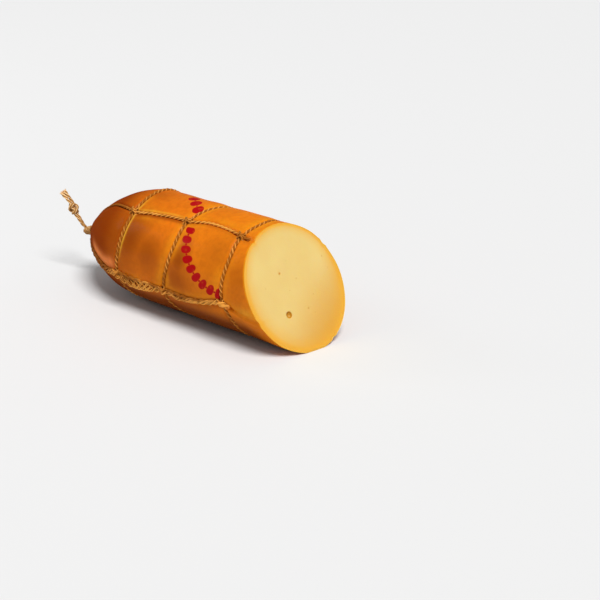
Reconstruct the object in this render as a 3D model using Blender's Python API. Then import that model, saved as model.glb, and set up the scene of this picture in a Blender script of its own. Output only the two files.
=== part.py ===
"""A salami-shaped provolone that has been cut into: a smoked log in a glossy casing, domed at one
end and cut across at the other. A net of twine dents it: three hoops, four lengthwise cords that
are hitched over the hoops, and a tail that is wrapped, knotted and cut short at the domed end.

X runs along the log from the tail to the cut, Z is up, and the log lies on z = 0. An angle round
the log is 0 degrees towards -Y, 90 at the top and -90 where it rests."""

import math

import bmesh
import bpy
import numpy as np
from mathutils import Vector

MM = 0.001

# The log
BODY_RADIUS = 58 * MM
CENTRE_HEIGHT = 57 * MM
CENTRE_Y = 1 * MM  # the hitches stand out further towards -Y, and this centres the whole
DOME_START_X = -52 * MM
DOME_TIP_X = -150.5 * MM
DOME_SQUARENESS = 1.57
DOME_DROOP = 0.06  # how far the dome's centre line falls, for each metre towards the tip
CUT_X = 138 * MM
CUT_LEAN_BACK = 0.455  # how far the cut runs back towards the tail, for each metre of height
CUT_TURN = 0.119  # how far the cut runs on, for each metre towards +Y
REST_HALF_ANGLE = 7  # degrees, half of the strip that the log rests on

# The gathered end of the casing
NECK_RADIUS = 2.8 * MM
NECK_START_X = -151.5 * MM
NECK_END_X = -165.3 * MM
NECK_SHIFT = Vector((0, -4 * MM, -2.2 * MM))

# The twine and its grooves
TWINE_RADIUS = 1.5 * MM
HEAVY_TWINE_RADIUS = 2.2 * MM
GAP = 0.3 * MM
VALLEY_DEPTH = 2.6 * MM
VALLEY_WIDTH = 5.5 * MM
VALLEY_SHARE = 0.35  # how much of the shallower valley adds to the deeper one where two cross
CUT_VALLEY_SHARE = 0.3  # how much of a cord's valley is left at the cut, where its cord is gone
SHOULDER = 6 * MM
TWINE_RISE = 0.3 * MM  # the twine's centre above the bottom of its valley
FLOOR_INSIDE = 0.2 * MM  # each notch's floor is narrower than its twine by this on each side
RIM_OUTSIDE = 0.7 * MM  # and its rim is wider by this
NOTCH_DEEPER = 0.12 * MM  # for the corners of the twine's flat sides

# Each hoop's place along X, in millimetres, at angles in degrees round the log
HOOPS = (
    ((-90, -50), (-60, -53), (-30, -57.3), (-12, -56.8), (5, -53), (28, -49.8), (57, -49), (95, -48.7),
     (150, -50), (210, -51)),
    ((-90, 27), (-62, 22), (-30, 9.8), (-12, 13), (8, 18.8), (30, 22.6), (57, 22.8), (75, 26.5),
     (98, 32), (150, 31), (210, 28)),
    ((-90, 101), (-50, 102.6), (-28, 99.5), (-8, 93.6), (5, 93.6), (33, 96), (58, 94.4), (84, 98),
     (110, 96), (160, 97), (210, 99)),
)
# Each lengthwise cord's angle in degrees at places along X in millimetres, and its radius
CORDS = {
    "lower": (((-149, -14), (-109, -13), (-91, -17.2), (-78, -19), (-57, -18.2), (-46, -20.7), (-23, -21.2),
               (0, -20), (14, -20), (42, -20.7), (57, -19.5), (71, -17), (84, -13), (94, -10.5),
               (104, -14), (170, -22)), HEAVY_TWINE_RADIUS),
    "upper": (((-149, 68), (-109, 65), (-95, 63.4), (-66, 55.7), (-49, 52.6), (-25, 53.2), (0, 56.6),
               (24, 58.7), (51, 63), (79, 61.9), (94, 60), (170, 59.5)), TWINE_RADIUS),
    "far_upper": (((-149, 148), (-60, 146), (20, 149), (96, 147), (170, 147)), TWINE_RADIUS),
    "far_lower": (((-149, 238), (-60, 243), (20, 241), (96, 244), (170, 244)), TWINE_RADIUS),
}
CORD_START_X = -152.4 * MM
STUB_LENGTH = 10 * MM  # each cord is cut off this far past the last hoop
STUB_CLEARANCE = 0.8 * MM

# The hitch where a cord crosses a hoop
HITCH_HALF_LENGTH = 4.6 * MM
HITCH_HALF_WIDTH = 3.2 * MM
HITCH_RISE = 0.5 * MM
HITCH_END_DROP = 1 * MM
CROSSING_SPREAD = 4.5 * MM

# The wrap round the gathered end, and the tail
WRAP_START_X = -153.6 * MM
WRAP_END_X = -164.5 * MM
WRAP_RADIUS = 5.6 * MM
WRAP_TURNS = 3
WRAP_DIP = 0.8 * MM  # between one turn and the next
WRAP_ROUNDING = 1.4 * MM  # at its two ends
WRAP_SIDES = 12
TAIL_TWINE_RADIUS = 1.4 * MM
TAIL_HALF_SPACING = 1.6 * MM
TAIL_TURN = 45  # degrees from that side to the way they lie where they leave the wrap
TAIL_SIDE = Vector((-0.52, -0.71, -0.47))  # the way that its two strands lie side by side
# The places, in millimetres, that the middle between the strands passes, before and after the knot
TAIL_ROUTE = ((-164.8, -3.3, 52.3), (-169.3, -4.0, 55.0), (-173.0, -5.0, 59.9), (-175.0, -5.8, 63.7))
END_ROUTE = ((-181.2, -7.6, 78.0), (-186.0, -8.3, 82.3), (-190.8, -9.1, 86.8))
STRAND_STEPS = 6
KNOT_CENTRE = Vector((-178.1, -7.0, 71.0)) * MM
KNOT_AXIS = Vector((-0.42, -0.12, 0.90))
KNOT_LENGTH = 13.4 * MM
KNOT_RADIUS = 4.7 * MM
KNOT_LUMP = 0.9 * MM

# The eye in the cut face
EYE_RADIUS = 3 * MM
EYE_Y = -16.4 * MM
EYE_HEIGHT = 36.5 * MM

SHARP_ANGLE = 40  # degrees, the least turn between two faces that stays a sharp edge
COLOURS = {
    "casing": ((0.50, 0.16, 0.02, 1), 0.3),
    "twine": ((0.55, 0.33, 0.12, 1), 0.85),
}


def clear_scene():
    for thing in list(bpy.data.objects):
        bpy.data.objects.remove(thing, do_unlink=True)


def material(name):
    colour, roughness = COLOURS[name]
    made = bpy.data.materials.new(name)
    made.use_nodes = True
    shader = made.node_tree.nodes["Principled BSDF"]
    shader.inputs["Base Color"].default_value = colour
    shader.inputs["Roughness"].default_value = roughness
    shader.inputs["Metallic"].default_value = 0
    return made


def add_mesh(name, mesh, look):
    mesh.name = name
    mesh.materials.clear()
    mesh.materials.append(look)
    mesh.shade_smooth()
    mesh.set_sharp_from_angle(angle=math.radians(SHARP_ANGLE))
    thing = bpy.data.objects.new(name, mesh)
    bpy.context.scene.collection.objects.link(thing)
    return thing


def through(anchors, place):
    """The smooth curve through (place, value) anchors, read at a place."""
    places = np.array([anchor[0] for anchor in anchors], float)
    values = np.array([anchor[1] for anchor in anchors], float)
    slopes = np.gradient(values, places)
    i = int(np.clip(np.searchsorted(places, place) - 1, 0, len(places) - 2))
    step = places[i + 1] - places[i]
    t = min(max((place - places[i]) / step, 0), 1)
    return float(
        values[i] * (1 + 2 * t) * (1 - t) ** 2
        + slopes[i] * step * t * (1 - t) ** 2
        + values[i + 1] * t * t * (3 - 2 * t)
        + slopes[i + 1] * step * t * t * (t - 1)
    )


def hoop_x(hoop, angle):
    """Where a hoop lies along the log at an angle in degrees round it."""
    anchors = HOOPS[hoop]
    turns = [(a + 360 * turn, x) for turn in (-1, 0, 1) for a, x in anchors]
    return through(turns, (angle + 90) % 360 - 90) * MM


def cord_angle(cord, x):
    return through(CORDS[cord][0], x / MM)


def ease(t):
    t = min(max(t, 0), 1)
    return t * t * (3 - 2 * t)


def centre(x):
    """The log's centre line, which droops along the dome and turns aside at the neck."""
    droop = DOME_DROOP * min(x - DOME_START_X, 0)
    aside = max((NECK_START_X - x) / (NECK_START_X - NECK_END_X), 0)
    return Vector((x, CENTRE_Y, CENTRE_HEIGHT + droop)) + aside * NECK_SHIFT


def crest(x):
    """The log's radius between its grooves: a straight body, a dome and a thin neck."""
    t = (DOME_START_X - x) / (DOME_START_X - DOME_TIP_X)
    if t <= 0:
        return BODY_RADIUS
    dome = BODY_RADIUS * max(1 - t**DOME_SQUARENESS, 0) ** (1 / DOME_SQUARENESS)
    return (dome**3 + NECK_RADIUS**3) ** (1 / 3)


def lean(x):
    """How many metres of radius one metre square to the skin takes up: more where the dome closes."""
    step = 0.5 * MM
    slope = (crest(x + step) - crest(x - step)) / (2 * step)
    return min(math.hypot(1, slope), 3)


def valley(distance, x):
    """How deep the skin is drawn in at a distance from the middle of a cord or hoop."""
    return VALLEY_DEPTH * min(1, crest(x) / (0.5 * BODY_RADIUS)) * math.exp(-abs(distance) / VALLEY_WIDTH)


def turn_between(first, second):
    return (first - second + 180) % 360 - 180


def cord_pull(x, angle):
    """How much of its full depth a cord's valley has: it fades from the last hoop to the cut."""
    gone = ease((x - hoop_x(len(HOOPS) - 1, angle) - SHOULDER) / (4 * SHOULDER))
    return 1 - (1 - CUT_VALLEY_SHARE) * gone


def skin(x, angle):
    """The skin's radius, without the notches that the twine itself lies in."""
    across = max(valley(x - hoop_x(hoop, angle), x) for hoop in range(len(HOOPS)))
    along = cord_pull(x, angle) * max(
        valley(math.radians(turn_between(angle, cord_angle(cord, x))) * crest(x), x) for cord in CORDS
    )
    drawn_in = max(across, along) + VALLEY_SHARE * min(across, along)
    return rest(crest(x) - drawn_in * min(lean(x), 1.5), x, angle, 0)


def rest(radius, x, angle, height):
    """Flattens a radius where it would go lower than a height above the ground."""
    down = -math.sin(math.radians(angle))
    if down <= 0.5:
        return radius
    return min(radius, (centre(x).z - height) / down)


def on_log(x, angle, radius):
    turn = math.radians(angle)
    return centre(x) + Vector((0, -radius * math.cos(turn), radius * math.sin(turn)))


def hoop_radius(hoop, angle):
    """The radius that the middle of a hoop's twine lies at."""
    x = hoop_x(hoop, angle)
    sunk = skin(x, angle) + TWINE_RISE
    return rest(sunk, x, angle, TWINE_RADIUS + 0.5 * GAP)


def cord_bed(cord, x):
    """The radius that the middle of a lengthwise cord's twine lies at, away from the hoops."""
    radius = CORDS[cord][1]
    sunk = skin(x, cord_angle(cord, x)) + TWINE_RISE * lean(x)
    return max(sunk, NECK_RADIUS + 3 * GAP + radius)


def cord_radius(cord, x):
    """The same, with the rise over each hoop."""
    bed = cord_bed(cord, x)
    angle = cord_angle(cord, x)
    for hoop in range(len(HOOPS)):
        away = (x - hoop_x(hoop, angle)) / CROSSING_SPREAD
        rise = hoop_radius(hoop, angle) + TWINE_RADIUS + 2 * GAP + CORDS[cord][1] - bed
        bed += max(rise, 0) * math.exp(-away * away)
    return bed


# The grid of the log's mesh follows the twine: rows run beside the hoops, and columns beside the
# lengthwise cords, so that each notch has its own pairs of edges.
NECK_ROWS = (NECK_END_X, NECK_END_X + MM, NECK_START_X, -149.5 * MM, -147.5 * MM, -144 * MM, -138 * MM)
DOME_SHARES = (0.15, 0.3, 0.45, 0.6, 0.74, 0.87)
BAY_SHARES = (0.17, 0.38, 0.62, 0.83)
CUT_SHARES = (0.3, 0.65, 1)
SIDE_SHARES = (0.15, 0.32, 0.5, 0.68, 0.85)
WIDEST_TURN = 37  # degrees from a cord to its shoulder column, at most
UNDER_ANGLES = (257, 270 - REST_HALF_ANGLE, 270, 270 + REST_HALF_ANGLE, 290, 304, 318)


def notch_half_width(radius):
    return radius - FLOOR_INSIDE


def rim_half_width(radius):
    return radius + RIM_OUTSIDE


def between(start, end, share):
    return lambda angle: start(angle) * (1 - share) + end(angle) * share


def beside_hoop(hoop, offset):
    return lambda angle: hoop_x(hoop, angle) + offset


def rows():
    """(place along X at an angle, hoop whose notch it is the floor of) of each row of the mesh."""
    made = [(lambda angle, x=x: x, None) for x in NECK_ROWS]
    for share in DOME_SHARES:
        made.append((between(made[len(NECK_ROWS) - 1][0], beside_hoop(0, -SHOULDER), share), None))
    floor = notch_half_width(TWINE_RADIUS)
    rim = rim_half_width(TWINE_RADIUS)
    for hoop in range(len(HOOPS)):
        for offset in (-SHOULDER, -rim, -floor, floor, rim, SHOULDER):
            made.append((beside_hoop(hoop, offset), hoop if abs(offset) == floor else None))
        if hoop + 1 < len(HOOPS):
            ends = (beside_hoop(hoop, SHOULDER), beside_hoop(hoop + 1, -SHOULDER))
            made += [(between(*ends, share), None) for share in BAY_SHARES]
    last = len(HOOPS) - 1
    for offset in (STUB_LENGTH + STUB_CLEARANCE, STUB_LENGTH + STUB_CLEARANCE + RIM_OUTSIDE):
        made.append((beside_hoop(last, offset), None))
    made += [(between(made[-1][0], cut_x, share), None) for share in CUT_SHARES]
    return made


def cut_x(angle):
    """Where the cut meets the skin at an angle round the log."""
    x = CUT_X
    for _ in range(6):
        edge = on_log(x, angle, skin(x, angle))
        x = CUT_X + CUT_TURN * edge.y - CUT_LEAN_BACK * (edge.z - CENTRE_HEIGHT)
    return x


def beside_cord(cord, offset):
    """The angle at a distance to one side of a cord, kept within bounds where the dome closes."""
    limit = WIDEST_TURN * (abs(offset) / SHOULDER) ** 0.4

    def angle(x):
        turn = math.degrees(offset / max(crest(x), MM))
        return cord_angle(cord, x) + max(-limit, min(limit, turn))

    return angle


def under(flat_angle, share):
    """A column beneath the log: at a set angle where it rests, and evenly spaced at the dome's tip."""
    spread = between(beside_cord("far_lower", SHOULDER), beside_cord("lower", -SHOULDER), share)

    def angle(x):
        even = spread(x) + 360 * share
        resting = ease(2 * crest(x) / BODY_RADIUS - 0.5)
        return flat_angle * resting + even * (1 - resting)

    return angle


def columns():
    """(angle at a place along X, cord whose notch it is the floor of) of each column of the mesh."""
    made = []
    names = list(CORDS)
    for name, following in zip(names, names[1:] + [None]):
        floor = notch_half_width(CORDS[name][1])
        rim = rim_half_width(CORDS[name][1])
        for offset in (-SHOULDER, -rim, -floor, floor, rim, SHOULDER):
            made.append((beside_cord(name, offset), name if abs(offset) == floor else None))
        if following:
            ends = (beside_cord(name, SHOULDER), beside_cord(following, -SHOULDER))
            made += [(between(*ends, share), None) for share in SIDE_SHARES]
    made += [(under(angle, (i + 1) / (len(UNDER_ANGLES) + 1)), None) for i, angle in enumerate(UNDER_ANGLES)]
    return made


def notched(x, angle, hoop, cord):
    """The log's radius where the floor of a hoop's or a cord's notch may be."""
    radius = skin(x, angle)
    if hoop is not None:
        radius = min(radius, hoop_radius(hoop, angle) - TWINE_RADIUS - GAP - NOTCH_DEEPER)
    if cord and CORD_START_X - MM < x < hoop_x(len(HOOPS) - 1, angle) + STUB_LENGTH + MM:
        radius = min(radius, cord_bed(cord, x) - (CORDS[cord][1] + GAP + NOTCH_DEEPER) * lean(x))
    return max(radius, NECK_RADIUS)


def body_mesh():
    """The log as a closed mesh of rows and columns, with a flat cut at one end."""
    shape = bmesh.new()
    grid = []
    for row_x, hoop in rows():
        ring = []
        for column_angle, cord in columns():
            x = row_x(0)
            for _ in range(4):
                angle = column_angle(x)
                x = row_x(angle)
            ring.append(shape.verts.new(on_log(x, angle, notched(x, angle, hoop, cord))))
        grid.append(ring)
    for ring, following in zip(grid, grid[1:]):
        for i, corner in enumerate(ring):
            j = (i + 1) % len(ring)
            shape.faces.new((corner, following[i], following[j], ring[j]))
    shape.faces.new(grid[0])
    shape.faces.new(list(reversed(grid[-1])))
    bmesh.ops.recalc_face_normals(shape, faces=shape.faces)
    mesh = bpy.data.meshes.new("cheese")
    shape.to_mesh(mesh)
    shape.free()
    return mesh


def join(thing, other, how):
    """Joins another solid to a thing, or cuts it out, and keeps the other one as a hidden helper."""
    other.hide_render = True
    other.display_type = "WIRE"
    change = thing.modifiers.new(other.name, "BOOLEAN")
    change.operation = how
    change.object = other


def cheese(look):
    """The log, with the eye hollowed out of its cut face."""
    log = add_mesh("cheese", body_mesh(), look)
    hollow = bmesh.new()
    bmesh.ops.create_icosphere(hollow, subdivisions=2, radius=EYE_RADIUS)
    eye_x = CUT_X + CUT_TURN * EYE_Y - CUT_LEAN_BACK * (EYE_HEIGHT - CENTRE_HEIGHT)
    bmesh.ops.translate(hollow, verts=hollow.verts, vec=(eye_x, EYE_Y, EYE_HEIGHT))
    mesh = bpy.data.meshes.new("eye")
    hollow.to_mesh(mesh)
    hollow.free()
    join(log, add_mesh("eye", mesh, look), "DIFFERENCE")


def tube(name, points, radius, look, closed=False):
    """A round cord through points, as a curve with its ends filled."""
    route = bpy.data.curves.new(name, "CURVE")
    route.dimensions = "3D"
    route.bevel_depth = radius
    route.bevel_resolution = 2
    route.use_fill_caps = not closed
    spline = route.splines.new("POLY")
    spline.points.add(len(points) - 1)
    for place, point in zip(spline.points, points):
        place.co = (*point, 1)
    spline.use_cyclic_u = closed
    route.materials.append(look)
    thing = bpy.data.objects.new(name, route)
    bpy.context.scene.collection.objects.link(thing)
    return thing


def solid_tube(name, points, radius, look, closed=False):
    """The same as a six-sided mesh, which a Boolean can join to another."""
    curve = tube(name + "_route", points, radius, look, closed)
    curve.data.bevel_resolution = 1
    graph = bpy.context.evaluated_depsgraph_get()
    mesh = bpy.data.meshes.new_from_object(curve.evaluated_get(graph))
    bpy.data.objects.remove(curve, do_unlink=True)
    shape = bmesh.new()
    shape.from_mesh(mesh)
    bmesh.ops.remove_doubles(shape, verts=shape.verts, dist=0.001 * MM)
    bmesh.ops.recalc_face_normals(shape, faces=shape.faces)
    shape.to_mesh(mesh)
    shape.free()
    return add_mesh(name, mesh, look)


def hoop(number, look):
    """One turn of twine round the log, in its notch."""
    points = []
    for column_angle, _ in columns():
        x = hoop_x(number, column_angle(0))
        for _ in range(4):
            angle = column_angle(x)
            x = hoop_x(number, angle)
        points.append(on_log(x, angle, hoop_radius(number, angle)))
    solid_tube(f"hoop_{number + 1}", points, TWINE_RADIUS, look, closed=True)


def crossing_x(cord, number):
    """Where a lengthwise cord crosses a hoop."""
    x = hoop_x(number, cord_angle(cord, 0))
    for _ in range(6):
        x = hoop_x(number, cord_angle(cord, x))
    return x


def hitch(cord, number, look):
    """The turn of a cord's own twine that lies slantwise over a hoop, beside the crossing."""
    middle = crossing_x(cord, number)
    points = []
    for along in (-1, -0.5, 0, 0.5, 1):
        x = middle + along * HITCH_HALF_LENGTH
        aside = math.degrees(-along * HITCH_HALF_WIDTH / BODY_RADIUS)
        angle = cord_angle(cord, x) + aside
        over_skin = skin(x, angle) + TWINE_RADIUS + 2 * GAP
        over_hoop = cord_radius(cord, middle) + HITCH_RISE * (1 - along * along)
        points.append(on_log(x, angle, max(over_skin, over_hoop - abs(along) * HITCH_END_DROP)))
    return solid_tube(f"{cord}_hitch_{number + 1}", points, TWINE_RADIUS, look)


def lengthwise_cord(cord, look):
    """A cord from the wrap to a cut end past the last hoop, with its hitches joined to it."""
    places = [CORD_START_X]
    for row_x, floor in rows():
        x = row_x(cord_angle(cord, 0))
        for _ in range(6):
            x = row_x(cord_angle(cord, x))
        places.append(x)
    places += [crossing_x(cord, number) for number in range(len(HOOPS))]
    end = crossing_x(cord, len(HOOPS) - 1) + STUB_LENGTH
    places = sorted(x for x in places if CORD_START_X <= x < end - MM) + [end]
    points = [on_log(x, cord_angle(cord, x), cord_radius(cord, x)) for x in places]
    thing = solid_tube(f"{cord}_cord", points, CORDS[cord][1], look)
    for number in range(len(HOOPS)):
        join(thing, hitch(cord, number, look), "UNION")


def wrap(look):
    """The turns of twine that close the casing's gathered end, as one ring."""
    steps = 4 * WRAP_TURNS
    inner = NECK_RADIUS + GAP
    profile = [(0, inner), (0, WRAP_RADIUS - WRAP_ROUNDING)]
    for step in range(1, steps):
        swell = abs(math.sin(math.pi * step / 4))
        profile.append((step / steps, WRAP_RADIUS - WRAP_DIP * (1 - swell)))
    profile += [(1, WRAP_RADIUS - WRAP_ROUNDING), (1, inner)]
    shape = bmesh.new()
    rings = []
    for share, radius in profile:
        x = WRAP_START_X + share * (WRAP_END_X - WRAP_START_X)
        rings.append([shape.verts.new(on_log(x, 360 * i / WRAP_SIDES, radius)) for i in range(WRAP_SIDES)])
    for ring, following in zip(rings, rings[1:] + rings[:1]):
        for i in range(WRAP_SIDES):
            j = (i + 1) % WRAP_SIDES
            shape.faces.new((ring[i], ring[j], following[j], following[i]))
    bmesh.ops.recalc_face_normals(shape, faces=shape.faces)
    mesh = bpy.data.meshes.new("tail_wrap")
    shape.to_mesh(mesh)
    shape.free()
    add_mesh("tail_wrap", mesh, look)


def along_route(route):
    """Points read from the smooth curve through a route's own points."""
    corners = [Vector(point) * MM for point in route]
    lengths = [(after - before).length for before, after in zip(corners, corners[1:])]
    places = np.concatenate(([0], np.cumsum(lengths)))
    read = []
    for place in np.linspace(0, places[-1], STRAND_STEPS):
        read.append(Vector([through([(p, c[axis]) for p, c in zip(places, corners)], place) for axis in range(3)]))
    return read


def strands(route, turn_from, turn_to, spread, name, look):
    """Two cords side by side along a route, which twist from one angle to another."""
    centres = along_route(route)
    for number, side in ((1, 1), (2, -1)):
        points = []
        for i, middle in enumerate(centres):
            before = centres[max(i - 1, 0)]
            after = centres[min(i + 1, len(centres) - 1)]
            ahead = (after - before).normalized()
            across = (TAIL_SIDE - TAIL_SIDE.dot(ahead) * ahead).normalized()
            deep = ahead.cross(across)
            share = i / (len(centres) - 1)
            turn = math.radians(turn_from + (turn_to - turn_from) * share)
            apart = side * TAIL_HALF_SPACING * (1 + spread * share)
            points.append(middle + apart * (math.cos(turn) * across + math.sin(turn) * deep))
        tube(f"{name}_{number}", points, TAIL_TWINE_RADIUS, look)


def knot(look):
    """The tail's knot: an egg of twine with slanting turns."""
    shape = bmesh.new()
    bmesh.ops.create_uvsphere(shape, u_segments=14, v_segments=10, radius=1)
    up = KNOT_AXIS.normalized()
    side = up.orthogonal().normalized()
    deep = up.cross(side)
    for corner in shape.verts:
        place = corner.co.copy()
        turn = math.atan2(place.y, place.x)
        lump = KNOT_LUMP * math.cos(2 * turn - 5 * place.z) * (1 - place.z * place.z)
        flat = (side * place.x + deep * place.y) * (KNOT_RADIUS + lump)
        corner.co = KNOT_CENTRE + flat + up * place.z * 0.5 * KNOT_LENGTH
    mesh = bpy.data.meshes.new("tail_knot")
    shape.to_mesh(mesh)
    shape.free()
    add_mesh("tail_knot", mesh, look)


def main():
    clear_scene()
    casing = material("casing")
    twine = material("twine")
    cheese(casing)
    for number in range(len(HOOPS)):
        hoop(number, twine)
    for cord in CORDS:
        lengthwise_cord(cord, twine)
    wrap(twine)
    strands(TAIL_ROUTE, TAIL_TURN, 10, 0, "tail_twine", twine)
    knot(twine)
    strands(END_ROUTE, 10, 0, 0.4, "tail_end", twine)


main()
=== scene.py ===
"""Dresses a cut log of smoked provolone: its glossy casing, drawn in by a net of twine, its cut face,
the laid twine of the net with its hitches, and the wrapped and knotted tail.

X runs along the log from the tail to the cut, and Z is up. An angle round the log is 0 degrees
towards -Y, 90 at the top and -90 where the log rests."""

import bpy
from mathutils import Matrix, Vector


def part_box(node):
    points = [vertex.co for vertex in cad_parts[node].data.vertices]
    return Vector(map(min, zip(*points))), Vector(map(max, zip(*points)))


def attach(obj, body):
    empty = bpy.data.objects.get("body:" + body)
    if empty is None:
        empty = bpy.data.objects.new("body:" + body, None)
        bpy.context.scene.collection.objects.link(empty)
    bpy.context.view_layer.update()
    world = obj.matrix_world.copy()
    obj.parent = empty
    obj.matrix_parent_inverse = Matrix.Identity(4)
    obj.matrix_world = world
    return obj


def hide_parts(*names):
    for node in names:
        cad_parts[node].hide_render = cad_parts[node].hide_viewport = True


bl_info = {
    "name": "Netted Smoked Provolone",
    "version": (1, 0, 0),
    "blender": (4, 5, 0),
    "location": "3D View > Sidebar > Cheese",
    "description": "Dresses a cut, netted log of smoked provolone",
    "category": "Add Mesh",
}

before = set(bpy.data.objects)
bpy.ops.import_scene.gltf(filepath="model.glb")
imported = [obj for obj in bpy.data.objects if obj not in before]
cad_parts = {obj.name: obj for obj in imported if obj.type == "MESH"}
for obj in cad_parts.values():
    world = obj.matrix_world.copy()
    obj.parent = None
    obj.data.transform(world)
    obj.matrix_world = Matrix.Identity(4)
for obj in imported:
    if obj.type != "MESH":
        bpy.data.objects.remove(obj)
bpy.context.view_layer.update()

import math

import bpy
import numpy as np
from mathutils import Vector

MM = 0.001

# The log, worked out from its solid's box
LOG_LOW, LOG_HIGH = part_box("cheese")
PRESSED_FLAT = 1 * MM  # how far the underside is flattened where the log rests
LOG_RADIUS = 0.5 * (LOG_HIGH.z + PRESSED_FLAT)
CENTRE_HEIGHT = LOG_HIGH.z - LOG_RADIUS
CENTRE_Y = LOG_HIGH.y - LOG_RADIUS
CUT_LEAN_BACK = 0.455  # how far the cut runs back towards the tail, for each metre of height
CUT_TURN = 0.119  # how far the cut runs on, for each metre towards +Y
CUT_X = LOG_HIGH.x - LOG_RADIUS * math.hypot(CUT_LEAN_BACK, CUT_TURN) - CUT_TURN * CENTRE_Y
NECK_END_X = LOG_LOW.x
NECK_START_X = NECK_END_X + 13.8 * MM
NECK_RADIUS = 2.8 * MM
NECK_SHIFT = np.array((0, -4, -2.2)) * MM
DOME_TIP_X = NECK_END_X + 14.8 * MM
DOME_START_X = DOME_TIP_X + 98.5 * MM
DOME_SQUARENESS = 1.57
DOME_DROOP = 0.06  # how far the dome's centre line falls, for each metre towards the tip

# The net
TWINE_RADIUS = 1.5 * MM
HEAVY_TWINE_RADIUS = 2.2 * MM
TWINE_GAP = 0.3 * MM
TWINE_RISE = 0.3 * MM  # the twine's centre above the bottom of its valley
VALLEY_DEPTH = 2.6 * MM
VALLEY_WIDTH = 5.5 * MM
VALLEY_SHARE = 0.35  # how much of the shallower valley adds to the deeper one where two cross
CUT_VALLEY_SHARE = 0.3  # how much of a cord's valley is left at the cut, where its cord is gone
SHOULDER = 6 * MM
LOOSE_SHARE = 0.85  # how much shallower the first hoop's valley is over the log's top
LOOSE_ANGLE = 99
LOOSE_SPREAD = 24

# Each hoop's place along X, in millimetres, at angles in degrees round the log
HOOPS = (
    ((-90, -50), (-60, -53), (-30, -57.3), (-12, -56.8), (5, -53), (28, -49.8), (57, -49), (95, -48.7),
     (150, -50), (210, -51)),
    ((-90, 27), (-62, 22), (-30, 9.8), (-12, 13), (8, 18.8), (30, 22.6), (57, 22.8), (75, 26.5),
     (98, 32), (150, 31), (210, 28)),
    ((-90, 101), (-50, 102.6), (-28, 99.5), (-8, 93.6), (5, 93.6), (33, 96), (58, 94.4), (84, 98),
     (110, 96), (160, 97), (210, 99)),
)
# Each lengthwise cord's angle in degrees at places along X in millimetres, and its radius
CORDS = {
    "lower": (((-149, -14), (-109, -13), (-91, -17.2), (-78, -19), (-57, -18.2), (-46, -20.7), (-23, -21.2),
               (0, -20), (14, -20), (42, -20.7), (57, -19.5), (71, -17), (84, -13), (94, -10.5),
               (104, -14), (170, -22)), HEAVY_TWINE_RADIUS),
    "upper": (((-149, 68), (-109, 65), (-95, 63.4), (-66, 55.7), (-49, 52.6), (-25, 55.4), (0, 58.2),
               (24, 59.4), (51, 64.4), (79, 62.9), (94, 60), (170, 59.5)), TWINE_RADIUS),
    "far_upper": (((-149, 148), (-60, 146), (20, 149), (96, 147), (170, 147)), TWINE_RADIUS),
    "far_lower": (((-149, 238), (-60, 243), (20, 241), (96, 244), (170, 244)), TWINE_RADIUS),
}
CORD_START_X = NECK_END_X + 12.9 * MM
STUB_LENGTH = 10 * MM
CROSSING_SPREAD = 4.5 * MM

# The tail: the places, in millimetres, that the middle between its two strands passes
TAIL_ROUTE = ((-164.8, -3.3, 52.3), (-168.4, -3.6, 55.0), (-172.2, -4.3, 59.9), (-174.6, -5.5, 63.7))
KNOT_CENTRE = (-178.1, -7.0, 71.0)
END_ROUTE = ((-181.2, -7.6, 78.0), (-186.0, -8.3, 82.3), (-190.8, -9.1, 86.8))
TAIL_SIDE = (-0.52, -0.71, -0.47)  # the way that its two strands lie side by side
TAIL_TWINE_RADIUS = 1.4 * MM
TAIL_HALF_SPACING = 1.45 * MM
KNOT_AXIS = (-0.42, -0.12, 0.90)


# Shapes as functions of numpy arrays

def through(anchors, places):
    """The cubic curve through (place, value) anchors, with each anchor's slope set by its neighbours."""
    at, values = np.array(anchors, float).T
    slopes = np.gradient(values, at)
    i = np.clip(np.searchsorted(at, places) - 1, 0, len(at) - 2)
    step = at[i + 1] - at[i]
    t = np.clip((places - at[i]) / step, 0, 1)
    start = values[i] * (1 + 2 * t) + slopes[i] * step * t
    end = values[i + 1] * (3 - 2 * t) + slopes[i + 1] * step * (t - 1)
    return start * (1 - t) ** 2 + end * t * t


def ease(t):
    """A smooth step from 0 to 1: 3t^2 - 2t^3 between them."""
    t = np.clip(t, 0, 1)
    return t * t * (3 - 2 * t)


def hoop_x(hoop, angle):
    """Where a hoop lies along the log at angles in degrees round it."""
    turns = [(a + 360 * turn, x) for turn in (-1, 0, 1) for a, x in HOOPS[hoop]]
    return through(turns, (angle + 90) % 360 - 90) * MM


def cord_angle(cord, x):
    return through(CORDS[cord][0], x / MM)


def centre(x):
    """The log's centre line: it droops in proportion along the dome and turns aside at the neck."""
    aside = np.maximum((NECK_START_X - x) / (NECK_START_X - NECK_END_X), 0)
    droop = DOME_DROOP * np.minimum(x - DOME_START_X, 0)
    middle = np.stack((x, np.full_like(x, CENTRE_Y), CENTRE_HEIGHT + droop), axis=-1)
    return middle + aside[..., None] * NECK_SHIFT


def crest(x):
    """The radius between the grooves: constant along the body, then a superellipse's quarter down to
    the thin neck."""
    t = np.clip((DOME_START_X - x) / (DOME_START_X - DOME_TIP_X), 0, 1)
    dome = LOG_RADIUS * (1 - t**DOME_SQUARENESS) ** (1 / DOME_SQUARENESS)
    return np.where(t > 0, np.cbrt(dome**3 + NECK_RADIUS**3), LOG_RADIUS)


def lean(x):
    """How many metres of radius one metre square to the skin takes up."""
    step = 0.5 * MM
    slope = (crest(x + step) - crest(x - step)) / (2 * step)
    return np.minimum(np.hypot(1, slope), 3)


def turn_between(first, second):
    return (first - second + 180) % 360 - 180


def hoop_distance(x, angle):
    """Metres to the nearest hoop, measured along the log."""
    return np.min([np.abs(x - hoop_x(hoop, angle)) for hoop in range(len(HOOPS))], axis=0)


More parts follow.
